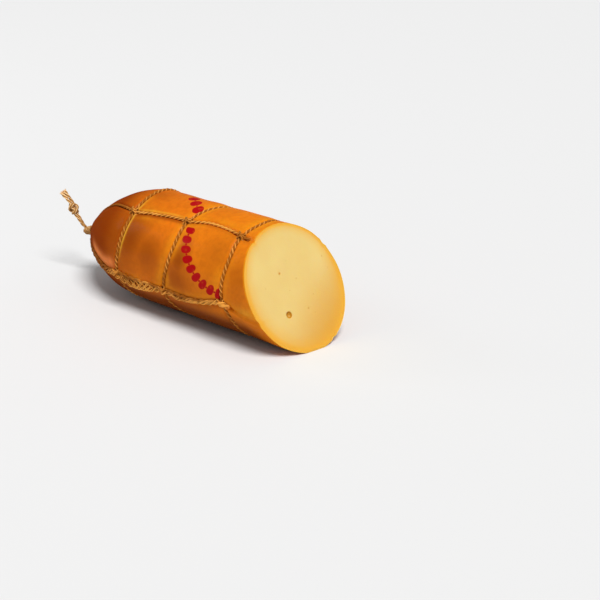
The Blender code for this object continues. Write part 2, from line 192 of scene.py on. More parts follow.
def cord_distance(x, angle, cord):
    """Metres round the log from a cord, positive past it."""
    return np.radians(turn_between(angle, cord_angle(cord, x))) * crest(x)


def cord_pull(x, angle):
    """The share of its depth that a cord's valley has: it fades from the last hoop to the cut."""
    gone = ease((x - hoop_x(len(HOOPS) - 1, angle) - SHOULDER) / (4 * SHOULDER))
    return 1 - (1 - CUT_VALLEY_SHARE) * gone


def drawn_in(x, angle):
    """How far the net draws the casing in: each valley falls off as e^(-distance / width), and where
    two cross the shallower adds a share to the deeper."""
    depth = VALLEY_DEPTH * np.minimum(1, crest(x) / (0.5 * LOG_RADIUS))
    turn = (angle + 90) % 360 - 90
    loose = LOOSE_SHARE * np.exp(-(((turn - LOOSE_ANGLE) / LOOSE_SPREAD) ** 2)) * ease(-x / (30 * MM))
    across = depth * (1 - loose) * np.exp(-hoop_distance(x, angle) / VALLEY_WIDTH)
    nearest = np.min([np.abs(cord_distance(x, angle, cord)) for cord in CORDS], axis=0)
    along = cord_pull(x, angle) * depth * np.exp(-nearest / VALLEY_WIDTH)
    return np.maximum(across, along) + VALLEY_SHARE * np.minimum(across, along)


def rest(radius, x, angle, height):
    """Flattens radii where they would go lower than a height above the ground."""
    down = -np.sin(np.radians(angle))
    flat = (centre(x)[..., 2] - height) / np.maximum(down, 0.5)
    return np.where(down > 0.5, np.minimum(radius, flat), radius)


def skin(x, angle):
    """The casing's radius, without the grooves that the twine itself lies in."""
    return rest(crest(x) - drawn_in(x, angle) * np.minimum(lean(x), 1.5), x, angle, 0)


def outward(angle):
    """Unit vectors away from the log's centre line, square to X."""
    turn = np.radians(angle)
    return np.stack((np.zeros_like(turn), -np.cos(turn), np.sin(turn)), axis=-1)


def on_log(x, angle, radius):
    return centre(x) + outward(angle) * radius[..., None]


def hoop_radius(hoop, angle):
    """The radius that the middle of a hoop's twine lies at."""
    x = hoop_x(hoop, angle)
    return rest(skin(x, angle) + TWINE_RISE, x, angle, TWINE_RADIUS + 0.5 * TWINE_GAP)


def cord_bed(cord, x):
    """The radius that the middle of a lengthwise cord's twine lies at, away from the hoops."""
    sunk = skin(x, cord_angle(cord, x)) + TWINE_RISE * lean(x)
    return np.maximum(sunk, NECK_RADIUS + 3 * TWINE_GAP + CORDS[cord][1])


def cord_radius(cord, x):
    """The same, with a bell-shaped rise over each hoop."""
    bed = cord_bed(cord, x)
    angle = cord_angle(cord, x)
    for hoop in range(len(HOOPS)):
        away = (x - hoop_x(hoop, angle)) / CROSSING_SPREAD
        over = hoop_radius(hoop, angle) + TWINE_RADIUS + 2 * TWINE_GAP + CORDS[cord][1]
        bed = bed + np.maximum(over - bed, 0) * np.exp(-away * away)
    return bed


def crossing_x(cord, hoop):
    """Where a lengthwise cord crosses a hoop."""
    x = hoop_x(hoop, cord_angle(cord, np.zeros(1)))
    for _ in range(6):
        x = hoop_x(hoop, cord_angle(cord, x))
    return float(x[0])


def unit(vectors):
    return vectors / np.linalg.norm(vectors, axis=-1, keepdims=True)


# Meshes from patches of arrays

def grid_faces(rows, columns, first=0, wrap_rows=False):
    """Quads of a grid of vertices whose columns close round, and whose rows do if asked."""
    i = np.arange(rows if wrap_rows else rows - 1)[:, None]
    j = np.arange(columns)[None, :]
    after_i = (i + 1) % rows
    after_j = (j + 1) % columns
    corners = (i * columns + j, after_i * columns + j, after_i * columns + after_j, i * columns + after_j)
    return np.stack([np.broadcast_to(c, (len(i), columns)) for c in corners], axis=-1).reshape(-1, 4) + first


def grid_corner_values(values):
    """Values at the corners of those quads, from a grid with one more column and the same rows."""
    corners = (values[:-1, :-1], values[1:, :-1], values[1:, 1:], values[:-1, 1:])
    return np.stack(corners, axis=2).reshape(-1, 4, values.shape[-1])


def join_patches(patches):
    """One patch from several: vertices, quads, caps, corner UVs and the values at vertices."""
    joined = {"places": [], "quads": [], "caps": [], "uv": [], "values": {}}
    first = 0
    for patch in patches:
        joined["places"].append(patch["places"])
        joined["quads"].append(patch["quads"] + first)
        joined["caps"] += [cap + first for cap in patch["caps"]]
        joined["uv"].append(patch["uv"])
        for name, value in patch["values"].items():
            joined["values"].setdefault(name, []).append(value)
        first += len(patch["places"])
    for key in ("places", "quads", "uv"):
        joined[key] = np.concatenate(joined[key])
    joined["values"] = {name: np.concatenate(value) for name, value in joined["values"].items()}
    return joined


def make_piece(name, patch, materials, face_slots=None, sharp=50):
    """A mesh object from a patch, riding the body, with smooth faces and its values as attributes."""
    mesh = bpy.data.meshes.new(name)
    faces = patch["quads"].tolist() + [cap.tolist() for cap in patch["caps"]]
    mesh.from_pydata(patch["places"].tolist(), [], faces)
    corners = np.zeros((len(mesh.loops), 2))
    flat = patch["uv"].reshape(-1, 2)
    corners[: len(flat)] = flat
    mesh.uv_layers.new(name="UVMap").data.foreach_set("uv", corners.ravel())
    for key, value in patch["values"].items():
        mesh.attributes.new(key, "FLOAT", "POINT").data.foreach_set("value", value)
    for material in materials:
        mesh.materials.append(material)
    if face_slots is not None:
        mesh.polygons.foreach_set("material_index", face_slots)
    mesh.shade_smooth()
    mesh.set_sharp_from_angle(angle=math.radians(sharp))
    piece = bpy.data.objects.new(name, mesh)
    bpy.context.scene.collection.objects.link(piece)
    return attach(piece, "root")


def ply_outline(psi, plies):
    """The radius, for an outer radius of 1, of round plies that touch: from the middle, a circle of
    radius a at a distance b is seen at b cos(psi) + sqrt(a^2 - b^2 sin^2(psi)). Crevices are filled
    up to a least radius."""
    sine = math.sin(math.pi / plies)
    a = sine / (1 + sine)
    b = 1 - a
    from_crest = (psi + math.pi / plies) % (2 * math.pi / plies) - math.pi / plies
    root = np.sqrt(np.maximum(a * a - (b * np.sin(from_crest)) ** 2, 0))
    return np.maximum(b * np.cos(from_crest) + root, 0.74)


SAMPLES_PER_PLY = 6
END_ROUNDING = ((-0.45, 0.55), (-0.2, 0.85))  # steps past an end and their radii, for a radius of 1


def laid_twine(points, reference, radius, plies, lay, closed=False, scale=None):
    """A laid twine along points: the outline of its plies, turned once for each length of lay. UVs
    run along it in centimetres and once round it, and the value crest is 1 on top of a ply."""
    points = np.asarray(points, float)
    ahead = (np.roll(points, -1, 0) - np.roll(points, 1, 0)) if closed else np.gradient(points, axis=0)
    ahead = unit(ahead)
    reference = np.broadcast_to(reference, points.shape)
    scale = np.ones(len(points)) if scale is None else scale
    if not closed:
        steps = np.array([step for step, _ in END_ROUNDING]) * radius
        shrunk = np.array([size for _, size in END_ROUNDING])
        before = points[0] + steps[:, None] * ahead[0]
        after = points[-1] - steps[::-1, None] * ahead[-1]
        points = np.concatenate((before, points, after))
        ends = len(END_ROUNDING)
        ahead = np.concatenate((ahead[:1].repeat(ends, 0), ahead, ahead[-1:].repeat(ends, 0)))
        reference = np.concatenate((reference[:1].repeat(ends, 0), reference, reference[-1:].repeat(ends, 0)))
        scale = np.concatenate((shrunk * scale[0], scale, shrunk[::-1] * scale[-1]))
    side = unit(np.cross(ahead, reference))
    deep = np.cross(side, ahead)
    gaps = np.linalg.norm(np.diff(points, axis=0, append=points[:1]), axis=1)
    along = np.concatenate(([0], np.cumsum(gaps)))
    total = along[-1]
    if closed:
        lay = total / round(total / lay)
    psi = np.arange(SAMPLES_PER_PLY * plies) * 2 * math.pi / (SAMPLES_PER_PLY * plies)
    outline = ply_outline(psi, plies)
    phase = 2 * math.pi * along[:-1, None] / lay + psi
    ring = radius * scale[:, None] * outline
    places = points[:, None] + (ring * np.cos(phase))[..., None] * side[:, None]
    places = places + (ring * np.sin(phase))[..., None] * deep[:, None]
    rows, columns = ring.shape
    uv = np.zeros((rows + 1, columns + 1, 2))
    uv[..., 0] = along[:, None] * 100
    uv[..., 1] = np.arange(columns + 1) / columns
    quads = grid_faces(rows, columns, wrap_rows=closed)
    low = outline.min()
    crests = np.broadcast_to((outline - low) / (1 - low), (rows, columns))
    caps = [] if closed else [np.arange(columns), (rows - 1) * columns + np.arange(columns)[::-1]]
    return {
        "places": places.reshape(-1, 3),
        "quads": quads,
        "caps": caps,
        "uv": grid_corner_values(uv if closed else uv[:-1]),
        "values": {"crest": crests.ravel()},
    }


def evenly(points, spacing):
    """Points a set distance apart along a dense line of points."""
    along = np.concatenate(([0], np.cumsum(np.linalg.norm(np.diff(points, axis=0), axis=1))))
    places = np.linspace(0, along[-1], max(int(along[-1] / spacing), 4))
    return np.stack([np.interp(places, along, points[:, axis]) for axis in range(3)], axis=1)


# Nodes

def feed(tree, socket, value):
    """Links a socket to another, or sets it to a value."""
    if isinstance(value, bpy.types.NodeSocket):
        tree.links.new(value, socket)
    else:
        socket.default_value = value


def add_node(tree, kind, inputs=(), **settings):
    node = tree.nodes.new(kind)
    for name, value in settings.items():
        setattr(node, name, value)
    for key, value in dict(inputs).items():
        feed(tree, node.inputs[key], value)
    return node


def calculate(tree, operation, *values):
    return add_node(tree, "ShaderNodeMath", dict(enumerate(values)), operation=operation).outputs[0]


def spread(tree, value, low, high, to_low=0.0, to_high=1.0):
    """A value's smooth rise from to_low at low to to_high at high."""
    inputs = {"Value": value, "From Min": low, "From Max": high, "To Min": to_low, "To Max": to_high}
    node = add_node(tree, "ShaderNodeMapRange", inputs, interpolation_type="SMOOTHSTEP")
    return node.outputs["Result"]


def blend(tree, share, first, second, how="MIX"):
    """A colour between two, or one laid over another."""
    node = add_node(tree, "ShaderNodeMix", data_type="RGBA", blend_type=how)
    feed(tree, node.inputs["Factor"], share)
    feed(tree, node.inputs[6], first)
    feed(tree, node.inputs[7], second)
    return node.outputs[2]


def noise(tree, vector, scale, detail=2.0, roughness=0.5):
    inputs = {"Vector": vector, "Scale": scale, "Detail": detail, "Roughness": roughness}
    return add_node(tree, "ShaderNodeTexNoise", inputs).outputs["Fac"]


def stretch(tree, vector, scale):
    inputs = {"Vector": vector, "Scale": scale}
    return add_node(tree, "ShaderNodeMapping", inputs).outputs["Vector"]


def part_of(tree, vector, axis):
    return add_node(tree, "ShaderNodeSeparateXYZ", {"Vector": vector}).outputs[axis]


def value_of(tree, name):
    return add_node(tree, "ShaderNodeAttribute", attribute_name=name).outputs["Fac"]


def coordinates(tree, kind="Object"):
    return add_node(tree, "ShaderNodeTexCoord").outputs[kind]


def new_material(name, roughness):
    """A material with a Principled shader, and the tree and shader to work on."""
    material = bpy.data.materials.new(name)
    material.use_nodes = True
    shader = material.node_tree.nodes["Principled BSDF"]
    shader.inputs["Roughness"].default_value = roughness
    return material, material.node_tree, shader


def bumped(tree, shader, height, distance, strength=1.0):
    inputs = {"Height": height, "Distance": distance, "Strength": strength}
    feed(tree, shader.inputs["Normal"], add_node(tree, "ShaderNodeBump", inputs).outputs["Normal"])


def new_group(name, inputs, outputs):
    """An empty shader node group with named sockets, each (name, kind, default), and its two ends."""
    group = bpy.data.node_groups.new(name, "ShaderNodeTree")
    for label, kind, default in inputs:
        socket = group.interface.new_socket(label, in_out="INPUT", socket_type=kind)
        if default is not None:
            socket.default_value = default
    for label, kind in outputs:
        group.interface.new_socket(label, in_out="OUTPUT", socket_type=kind)
    return group, group.nodes.new("NodeGroupInput").outputs, group.nodes.new("NodeGroupOutput").inputs


def place_group(tree, group, inputs):
    node = add_node(tree, "ShaderNodeGroup", node_tree=group)
    for key, value in inputs.items():
        feed(tree, node.inputs[key], value)
    return node.outputs


def mottle_group():
    """Soft clouds with a finer mottling in them, used by the casing and by the cut face."""
    name = "Mottle"
    if name in bpy.data.node_groups:
        return bpy.data.node_groups[name]
    sockets = (("Vector", "NodeSocketVector", None), ("Size", "NodeSocketFloat", 0.05),
               ("Fineness", "NodeSocketFloat", 6.0))
    group, given, out = new_group(name, sockets, (("Clouds", "NodeSocketFloat"), ("Specks", "NodeSocketFloat")))
    scale = calculate(group, "DIVIDE", 1.0, given["Size"])
    clouds = noise(group, given["Vector"], scale, 2.0, 0.45)
    specks = noise(group, given["Vector"], calculate(group, "MULTIPLY", scale, given["Fineness"]), 3.0, 0.6)
    feed(group, out["Clouds"], spread(group, clouds, 0.3, 0.7))
    feed(group, out["Specks"], specks)
    return group


def bead_group():
    """A band of plain oval beads with a dot between each pair, from places along and across it."""
    name = "Bead Band"
    if name in bpy.data.node_groups:
        return bpy.data.node_groups[name]
    sockets = (("Along", "NodeSocketFloat", 0.0), ("Across", "NodeSocketFloat", 0.0),
               ("Length", "NodeSocketFloat", 0.07), ("Step", "NodeSocketFloat", 0.01))
    group, given, out = new_group(name, sockets, (("Mask", "NodeSocketFloat"),))
    half_step = calculate(group, "MULTIPLY", given["Step"], 0.5)
    bead_half_length, dot_radius, softness = 6.2 * MM, 1.2 * MM, 0.15
    slanted = calculate(group, "MULTIPLY_ADD", given["Across"], 0.25, given["Along"])
    along = calculate(group, "PINGPONG", slanted, half_step)
    wide = calculate(group, "DIVIDE", along, calculate(group, "MULTIPLY", given["Step"], 0.385))
    long = calculate(group, "DIVIDE", given["Across"], bead_half_length)
    bead = calculate(group, "ADD", calculate(group, "POWER", wide, 2.0),
                     calculate(group, "POWER", calculate(group, "ABSOLUTE", long), 3.0))
    bead = spread(group, bead, 1 + softness, 1 - softness)
    to_dot = calculate(group, "SUBTRACT", half_step, along)
    dot = calculate(group, "ADD", calculate(group, "POWER", to_dot, 2.0),
                    calculate(group, "POWER", given["Across"], 2.0))
    dot = spread(group, calculate(group, "SQRT", dot), dot_radius * (1 + softness), dot_radius * (1 - softness))
    within = calculate(group, "COMPARE", given["Along"], 0.0, calculate(group, "MULTIPLY", given["Length"], 0.5))
    feed(group, out["Mask"], calculate(group, "MULTIPLY", calculate(group, "MAXIMUM", bead, dot), within))
    return group


def fibre_group():
    """Fibres that run along the plies of a twine, from its UVs: their height, and how pale they are, partly their own
    tufts and partly painted light on the plies' crests, with painted shade left in the crevices.
    """
    name = "Twine Fibres"
    if name in bpy.data.node_groups:
        return bpy.data.node_groups[name]
    sockets = (("UV", "NodeSocketVector", None), ("Crest", "NodeSocketFloat", 1.0),
               ("Fineness", "NodeSocketFloat", 1.0))
    group, given, out = new_group(name, sockets, (("Height", "NodeSocketFloat"), ("Pale", "NodeSocketFloat")))
    along = part_of(group, given["UV"], 0)
    around = part_of(group, given["UV"], 1)
    slant = calculate(group, "MULTIPLY_ADD", along, 1.1, around)
    slanted = add_node(group, "ShaderNodeCombineXYZ", {"X": along, "Y": slant}).outputs[0]
    fine = calculate(group, "MULTIPLY", given["Fineness"], 1.0)
    hairs = noise(group, stretch(group, slanted, (2.5, 42.0, 1.0)), fine, 3.0, 0.65)
    tufts = noise(group, stretch(group, slanted, (5.0, 9.0, 1.0)), fine, 2.0, 0.5)
    height = calculate(group, "MULTIPLY_ADD", hairs, 0.7, calculate(group, "MULTIPLY", tufts, 0.5))
    feed(group, out["Height"], height)
    # Painted light on the plies' crests; the crevices are left darker as painted shade
    raised = spread(group, given["Crest"], 0.1, 0.85)
    lit = calculate(group, "MULTIPLY", spread(group, hairs, 0.2, 0.7, 0.55, 1.0), raised)
    feed(group, out["Pale"], calculate(group, "MULTIPLY_ADD", lit, 0.75, calculate(group, "MULTIPLY", tufts, 0.2)))
    return group


# Settings

def colour_property(label, words, default):
    return bpy.props.FloatVectorProperty(
        name=label, description=words, subtype="COLOR", size=4, min=0, max=1, default=(*default, 1))


def length_property(label, words, default):
    return bpy.props.FloatProperty(name=label, description=words, default=default, unit="LENGTH", precision=4)


class CasingSettings(bpy.types.PropertyGroup):
    light_smoke: colour_property("Light smoke", "Casing where it took the least smoke", (0.84, 0.20, 0.007))
    # Heavier smoke in the clouds and specks, and also the painted shade beside the cords and beside the second hoop
    deep_smoke_and_shade: colour_property("Deep smoke", "Casing where it took the most smoke", (0.27, 0.050, 0.003))
    dome_smoke: colour_property("Dome", "Casing towards the tied end", (0.285, 0.044, 0.003))
    # The casing's own golden colour towards the cut, and also the painted highlight on the folds beside the twine
    gold_and_fold_highlight: colour_property("Fold", "Casing on the folds beside the twine and at the cut", (0.86, 0.32, 0.009))
    # Painted highlight: the colour of the film's two brightest folds
    gleam: colour_property("Gleam", "The film's two brightest folds", (0.95, 0.50, 0.04))
    # Painted shade: the colour laid in the valley bottoms beside the twine and on the log's underside
    groove: colour_property("Groove", "Casing in the dirt and shade beside the twine", (0.12, 0.022, 0.003))
    # Painted highlight: the pale, pinkish bulge of the dome above the lower cord
    blush: colour_property("Blush", "The dome's bulge above the lower cord", (0.98, 0.29, 0.08))
    print_red: colour_property("Print", "Ink of the plain bead bands", (0.42, 0.004, 0.006))
    lump: length_property("Lumps", "Height of the slow unevenness between the twines", 0.5 * MM)
    pucker: length_property("Puckers", "Height of the small folds that run off the twine", 0.2 * MM)
    fold: length_property("Folds", "Height of the fold along each side of the twine", 0.45 * MM)


class FaceSettings(bpy.types.PropertyGroup):
    paste: colour_property("Paste", "The cut face in its middle", (0.745, 0.555, 0.195))
    low_paste: colour_property("Low paste", "The cut face towards its lowest part", (0.66, 0.32, 0.030))
    rim: colour_property("Rim", "The paste next to the casing", (0.76, 0.38, 0.026))
    eye: colour_property("Eye", "The paste inside the eye", (0.55, 0.245, 0.0))
    eye_radius: length_property("Eye radius", "Radius of the eye in the cut face", 3.3 * MM)
    eye_depth: length_property("Eye depth", "Depth of the eye in the cut face", 2.7 * MM)
    lip: length_property("Lip", "Height of the casing's edge above the paste beside it", 0.3 * MM)


class TwineSettings(bpy.types.PropertyGroup):
    straw: colour_property("Straw", "Raised fibres of the net's twine", (0.82, 0.35, 0.062))
    stain_and_crevice_shade: colour_property("Stain", "Sunken and smoked fibres of the net's twine", (0.34, 0.100, 0.006))
    # Painted light: the colour that raised fibres of the paler cords take where they are lit
    lit_straw: colour_property("Bright straw", "Fibres of the net's clean cords", (1.0, 0.47, 0.07))
    # Real stain, and also the painted shade in the crevices between the plies
    tail_straw: colour_property("Tail straw", "Raised fibres of the tail's twine", (0.98, 0.66, 0.33))
    # Real stain, and also the painted shade in the crevices between the tail's plies
    tail_stain_and_crevice_shade: colour_property("Tail stain", "Sunken fibres of the tail's twine", (0.36, 0.160, 0.036))
    lay: length_property("Lay", "Length in which a twine's plies turn once", 11.5 * MM)
    fullness: bpy.props.FloatProperty(
        name="Fullness", description="The twine's radius for its solid's", default=1.25, min=0.5, max=1.5)
    spacing: length_property("Detail", "Distance between the rings of a twine's mesh", 0.42 * MM)


class StageSettings(bpy.types.PropertyGroup):
    floor: colour_property("Floor", "The plain floor", (0.80, 0.80, 0.80))
    key_strength: bpy.props.FloatProperty(name="Key light", description="Strength of the main light", default=3.0)
    key_spread: bpy.props.FloatProperty(
        name="Key spread", description="How wide the main light looks", default=math.radians(26), unit="ROTATION")
    fill_power: bpy.props.FloatProperty(name="Fill light", description="Power of the fill", default=2.5, unit="POWER")
    sky: bpy.props.FloatProperty(name="Sky", description="Strength of the even light all round", default=0.28)
    lens: bpy.props.FloatProperty(name="Lens", description="The camera's focal length", default=84, unit="CAMERA")


# The cheese

ROWS = {"neck": 10, "dome": 64, "bay": 62, "end": 42}
COLUMNS_BETWEEN_CORDS = 60
GATHER = 0.82  # how much closer rows and columns lie beside the twine than between


def gathered(count):
    """Shares from 0 to just under 1 that crowd together at both ends: t - k sin(2 pi t) / 2 pi."""
    t = np.arange(count) / count
    return t - GATHER * np.sin(2 * np.pi * t) / (2 * np.pi)


def cut_x(angle):
    """Where the cut meets the skin at angles round the log."""
    x = np.full_like(angle, CUT_X)
    for _ in range(6):
        edge = on_log(x, angle, skin(x, angle))
        x = CUT_X + CUT_TURN * edge[..., 1] - CUT_LEAN_BACK * (edge[..., 2] - CENTRE_HEIGHT)
    return x


def net_grid():
    """Places along X and angles of a grid whose lines follow the hoops and the cords."""
    lines = [lambda a: np.full_like(a, NECK_END_X), lambda a: np.full_like(a, NECK_START_X)]
    lines += [lambda a, hoop=hoop: hoop_x(hoop, a) for hoop in range(len(HOOPS))]
    lines.append(cut_x)
    counts = (ROWS["neck"], ROWS["dome"], ROWS["bay"], ROWS["bay"], ROWS["end"])
    names = list(CORDS)

    def angles(x):
        between = []
        for i, name in enumerate(names):
            last = i == len(names) - 1
            start = cord_angle(name, x)
            end = cord_angle(names[0], x) + 360 if last else cord_angle(names[i + 1], x)
            share = gathered(COLUMNS_BETWEEN_CORDS)
            block = slice(i * len(share), (i + 1) * len(share))
            between.append(start[:, block] * (1 - share) + end[:, block] * share)
        return np.concatenate(between, axis=1)

    def places(angle):
        rows = []
        first = 0
        for line, following, count in zip(lines, lines[1:], counts):
            block = angle[first : first + count]
            share = gathered(count)[:, None]
            rows.append(line(block) * (1 - share) + following(block) * share)
            first += count
        rows.append(lines[-1](angle[first : first + 1]))
        return np.concatenate(rows)

    x = np.zeros((sum(counts) + 1, COLUMNS_BETWEEN_CORDS * len(names)))
    x += np.interp(np.arange(len(x)), np.concatenate(([0], np.cumsum(counts))),
                   [NECK_END_X, NECK_START_X, -50 * MM, 20 * MM, 97 * MM, CUT_X])[:, None]
    for _ in range(6):
        angle = angles(x)
        x = places(angle)
    return x, angle


def lumps(x, angle):
    """A slow unevenness from -1 to 1: a sum of a few waves of 30 to 70 mm along and round the log."""
    turn = np.radians(angle)
    waves = ((3, 0.06, 0.4), (4, -0.10, 2.1), (7, 0.09, 4.0), (5, 0.16, 1.3), (9, -0.05, 5.2))
    total = sum(np.sin(k * turn + 2 * np.pi * x / MM * per_mm / 6 + start) for k, per_mm, start in waves)
    return total / len(waves)


def puckers(x, angle):
    """Small folds that run square off the twine: waves along each hoop and each cord, uneven in
    step, that fade with distance from it as e^(-d / 5 mm)."""
    turn = np.radians(angle)
    reach = 5 * MM
    along_hoop = np.sin(46 * turn + 3 * np.sin(5 * turn)) * np.sin(13 * turn + 1)
    by_hoop = along_hoop * np.exp(-hoop_distance(x, angle) / reach)
    step = x / MM
    along_cord = np.sin(0.9 * step + 2 * np.sin(0.13 * step)) * np.sin(0.21 * step)
    nearest = np.min([np.abs(cord_distance(x, angle, cord)) for cord in CORDS], axis=0)
    return by_hoop + along_cord * np.exp(-nearest / reach)


def fold(x, angle):
    """The casing's fold along each side of the twine: a bell 4.3 mm away, and a pinch beside it."""
    nearest = np.min([np.abs(cord_distance(x, angle, cord)) for cord in CORDS], axis=0)
    total = 0
    for away in (hoop_distance(x, angle), nearest):
        total = total + np.exp(-(((away - 4.3 * MM) / (1.7 * MM)) ** 2)) - 0.9 * np.exp(-((away / (2.3 * MM)) ** 2))
    return total


def gleam(x, angle):
    """A painted highlight where the film stands in a fold: bells 4 mm past the first hoop on the log's near side,
    3 mm above the upper cord in the first bay, and on the bulge between the lower cord and the cut."""
    turn = (angle + 90) % 360 - 90
    near_side = ease((turn + 10) / 30) * ease((80 - turn) / 24)
    past = x - hoop_x(0, angle)
    beside_hoop = 0.85 * np.exp(-(((past - 4.2 * MM) / (1.5 * MM)) ** 2)) * near_side
    in_bay = ease(past / (12 * MM)) * ease((hoop_x(1, angle) - x) / (14 * MM))
    above = cord_distance(x, angle, "upper")
    above_cord = 0.6 * np.exp(-(((above - 3.2 * MM) / (1.1 * MM)) ** 2)) * in_bay
    by_cut = 0.42 * np.exp(-(((x - 128 * MM) / (15 * MM)) ** 2) - ((turn + 12.5) / 5) ** 2)
    return np.maximum(np.maximum(beside_hoop, above_cord), by_cut)


def blush(x, angle):
    """A painted highlight on the dome's bulge above the lower cord: a bell 10.5 mm from it."""
    span = ease((x + 116 * MM) / (16 * MM)) * ease((-54 * MM - x) / (12 * MM))
    return span * np.exp(-(((cord_distance(x, angle, "lower") - 10.5 * MM) / (6 * MM)) ** 2))


def shade(x, angle):
    """The casing's shade beside the cords: a bell 4 mm below the upper cord past the first hoop, and
    bells on both sides of the lower cord past the second."""
    past_first = ease((x - hoop_x(0, angle)) / (8 * MM))
    past_second = ease((x - hoop_x(1, angle)) / (8 * MM))
    under = np.exp(-(((cord_distance(x, angle, "upper") + 3.6 * MM) / (2.2 * MM)) ** 2))
    lower = cord_distance(x, angle, "lower")
    above = np.exp(-(((lower - 3.4 * MM) / (2.0 * MM)) ** 2))
    below = np.exp(-(((lower + 5 * MM) / (3.0 * MM)) ** 2))
    before_end = 1 - ease((x - 90 * MM) / (14 * MM))
    return np.maximum(past_first * under * (1 - 0.6 * past_second),
                      past_second * before_end * np.maximum(0.75 * above, 0.6 * below))


def pleats(x, angle):
    """Folds where the casing is gathered to the neck: waves round the dome, deepest at its tip."""
    turn = np.radians(angle)
    nearness = np.exp(-np.maximum(x - DOME_TIP_X, 0) / (9 * MM))
    return nearness * (np.cos(17 * turn + 0.8 * np.sin(3 * turn)) + 0.5 * np.cos(9 * turn + 1))


def grooved(radius, x, angle):
    """The casing's radius with the groove that each twine presses: the twine's own round, a gap away."""
    for hoop in range(len(HOOPS)):
        away = x - hoop_x(hoop, angle)
        around = (TWINE_RADIUS + TWINE_GAP) ** 2 - away**2
        floor = hoop_radius(hoop, angle) - np.sqrt(np.maximum(around, 0))
        radius = np.where(around > 0, np.minimum(radius, floor), radius)
    ends = hoop_x(len(HOOPS) - 1, angle) + STUB_LENGTH + MM
    for cord in CORDS:
        away = cord_distance(x, angle, cord)
        around = (CORDS[cord][1] + TWINE_GAP) ** 2 - away**2
        floor = cord_bed(cord, x) - np.sqrt(np.maximum(around, 0)) * lean(x)
        held = (around > 0) & (x > CORD_START_X - MM) & (x < ends)
        radius = np.where(held, np.minimum(radius, floor), radius)
    return np.maximum(radius, NECK_RADIUS)


def casing_patch(settings):
    """The casing as a grid: the solid's own skin, with lumps between the twines, puckers and folds beside
    them, and pleats at the neck; the lip at the cut is the face's. UVs are metres along and round the log."""
    x, angle = net_grid()
    nearest = np.min([np.abs(cord_distance(x, angle, cord)) for cord in CORDS], axis=0)
    twine_near = np.exp(-np.minimum(hoop_distance(x, angle), nearest) / (7 * MM))
    size = crest(x) / LOG_RADIUS
    radius = skin(x, angle) - 0.4 * settings.lump * (1 - twine_near)
    radius = radius + settings.lump * lumps(x, angle) * (1 - twine_near) * size
    radius = radius + (settings.pucker * puckers(x, angle) + settings.fold * fold(x, angle)) * size
    radius = radius + 0.5 * MM * pleats(x, angle) * np.minimum(size * 4, 1)
    radius = rest(radius, x, angle, 0)
    deep = drawn_in(x, angle) / (VALLEY_DEPTH * (1 + VALLEY_SHARE))
    radius = grooved(radius, x, angle)
    places = on_log(x, angle, radius)
    rows, columns = x.shape
    unrolled = np.concatenate((angle, angle[:, :1] + 360), axis=1)
    uv = np.stack((np.concatenate((x, x[:, :1]), axis=1), np.radians(unrolled) * LOG_RADIUS), axis=-1)
    return {
        "places": places.reshape(-1, 3),
        "quads": grid_faces(rows, columns)[:, ::-1],
        "caps": [np.arange(columns)],
        "uv": grid_corner_values(uv)[:, ::-1],
        # Values for the painted highlights on the folds and on the dome's bulge, and for painted shade beside the cords
        "values": {"valley": deep.ravel(), "from_rim": (x[-1] - x).ravel() / (10 * MM),
                   "hollow": np.zeros(deep.size), "gleam": gleam(x, angle).ravel(),
                   "blush": blush(x, angle).ravel(), "shade": shade(x, angle).ravel()},
    }, places[-1]


FACE_RINGS = 104
EYE_Y = -16.4 * MM
EYE_HEIGHT = 36.5 * MM
# Small pits in the cut face: their places across and up it from the eye, radii and depths, in millimetres
PITS = ((2.4, 39.9, 1.3, 1.0), (24.7, 0.4, 1.0, 0.6), (20.2, 31.0, 0.8, 0.5), (57.5, 44.5, 0.9, 0.4),
        (61.0, 32.0, 0.8, 0.4), (31.0, -5.0, 0.7, 0.35), (14.5, 50.5, 0.8, 0.4), (35.0, 12.0, 0.8, 0.35),
        (-18.0, 30.0, 0.7, 0.3), (44.0, 58.0, 0.8, 0.4), (9.0, 22.0, 0.7, 0.3), (48.0, 22.0, 0.7, 0.3))


def cut_frame():
    """The eye's place on the cut, and unit vectors across the cut, up it and out of it."""
    eye = np.array((CUT_X + CUT_TURN * EYE_Y - CUT_LEAN_BACK * (EYE_HEIGHT - CENTRE_HEIGHT), EYE_Y, EYE_HEIGHT))
    out = unit(np.array((1, -CUT_TURN, CUT_LEAN_BACK)))
    across = unit(np.cross((0, 0, 1), out))
    return eye, across, np.cross(out, across), out


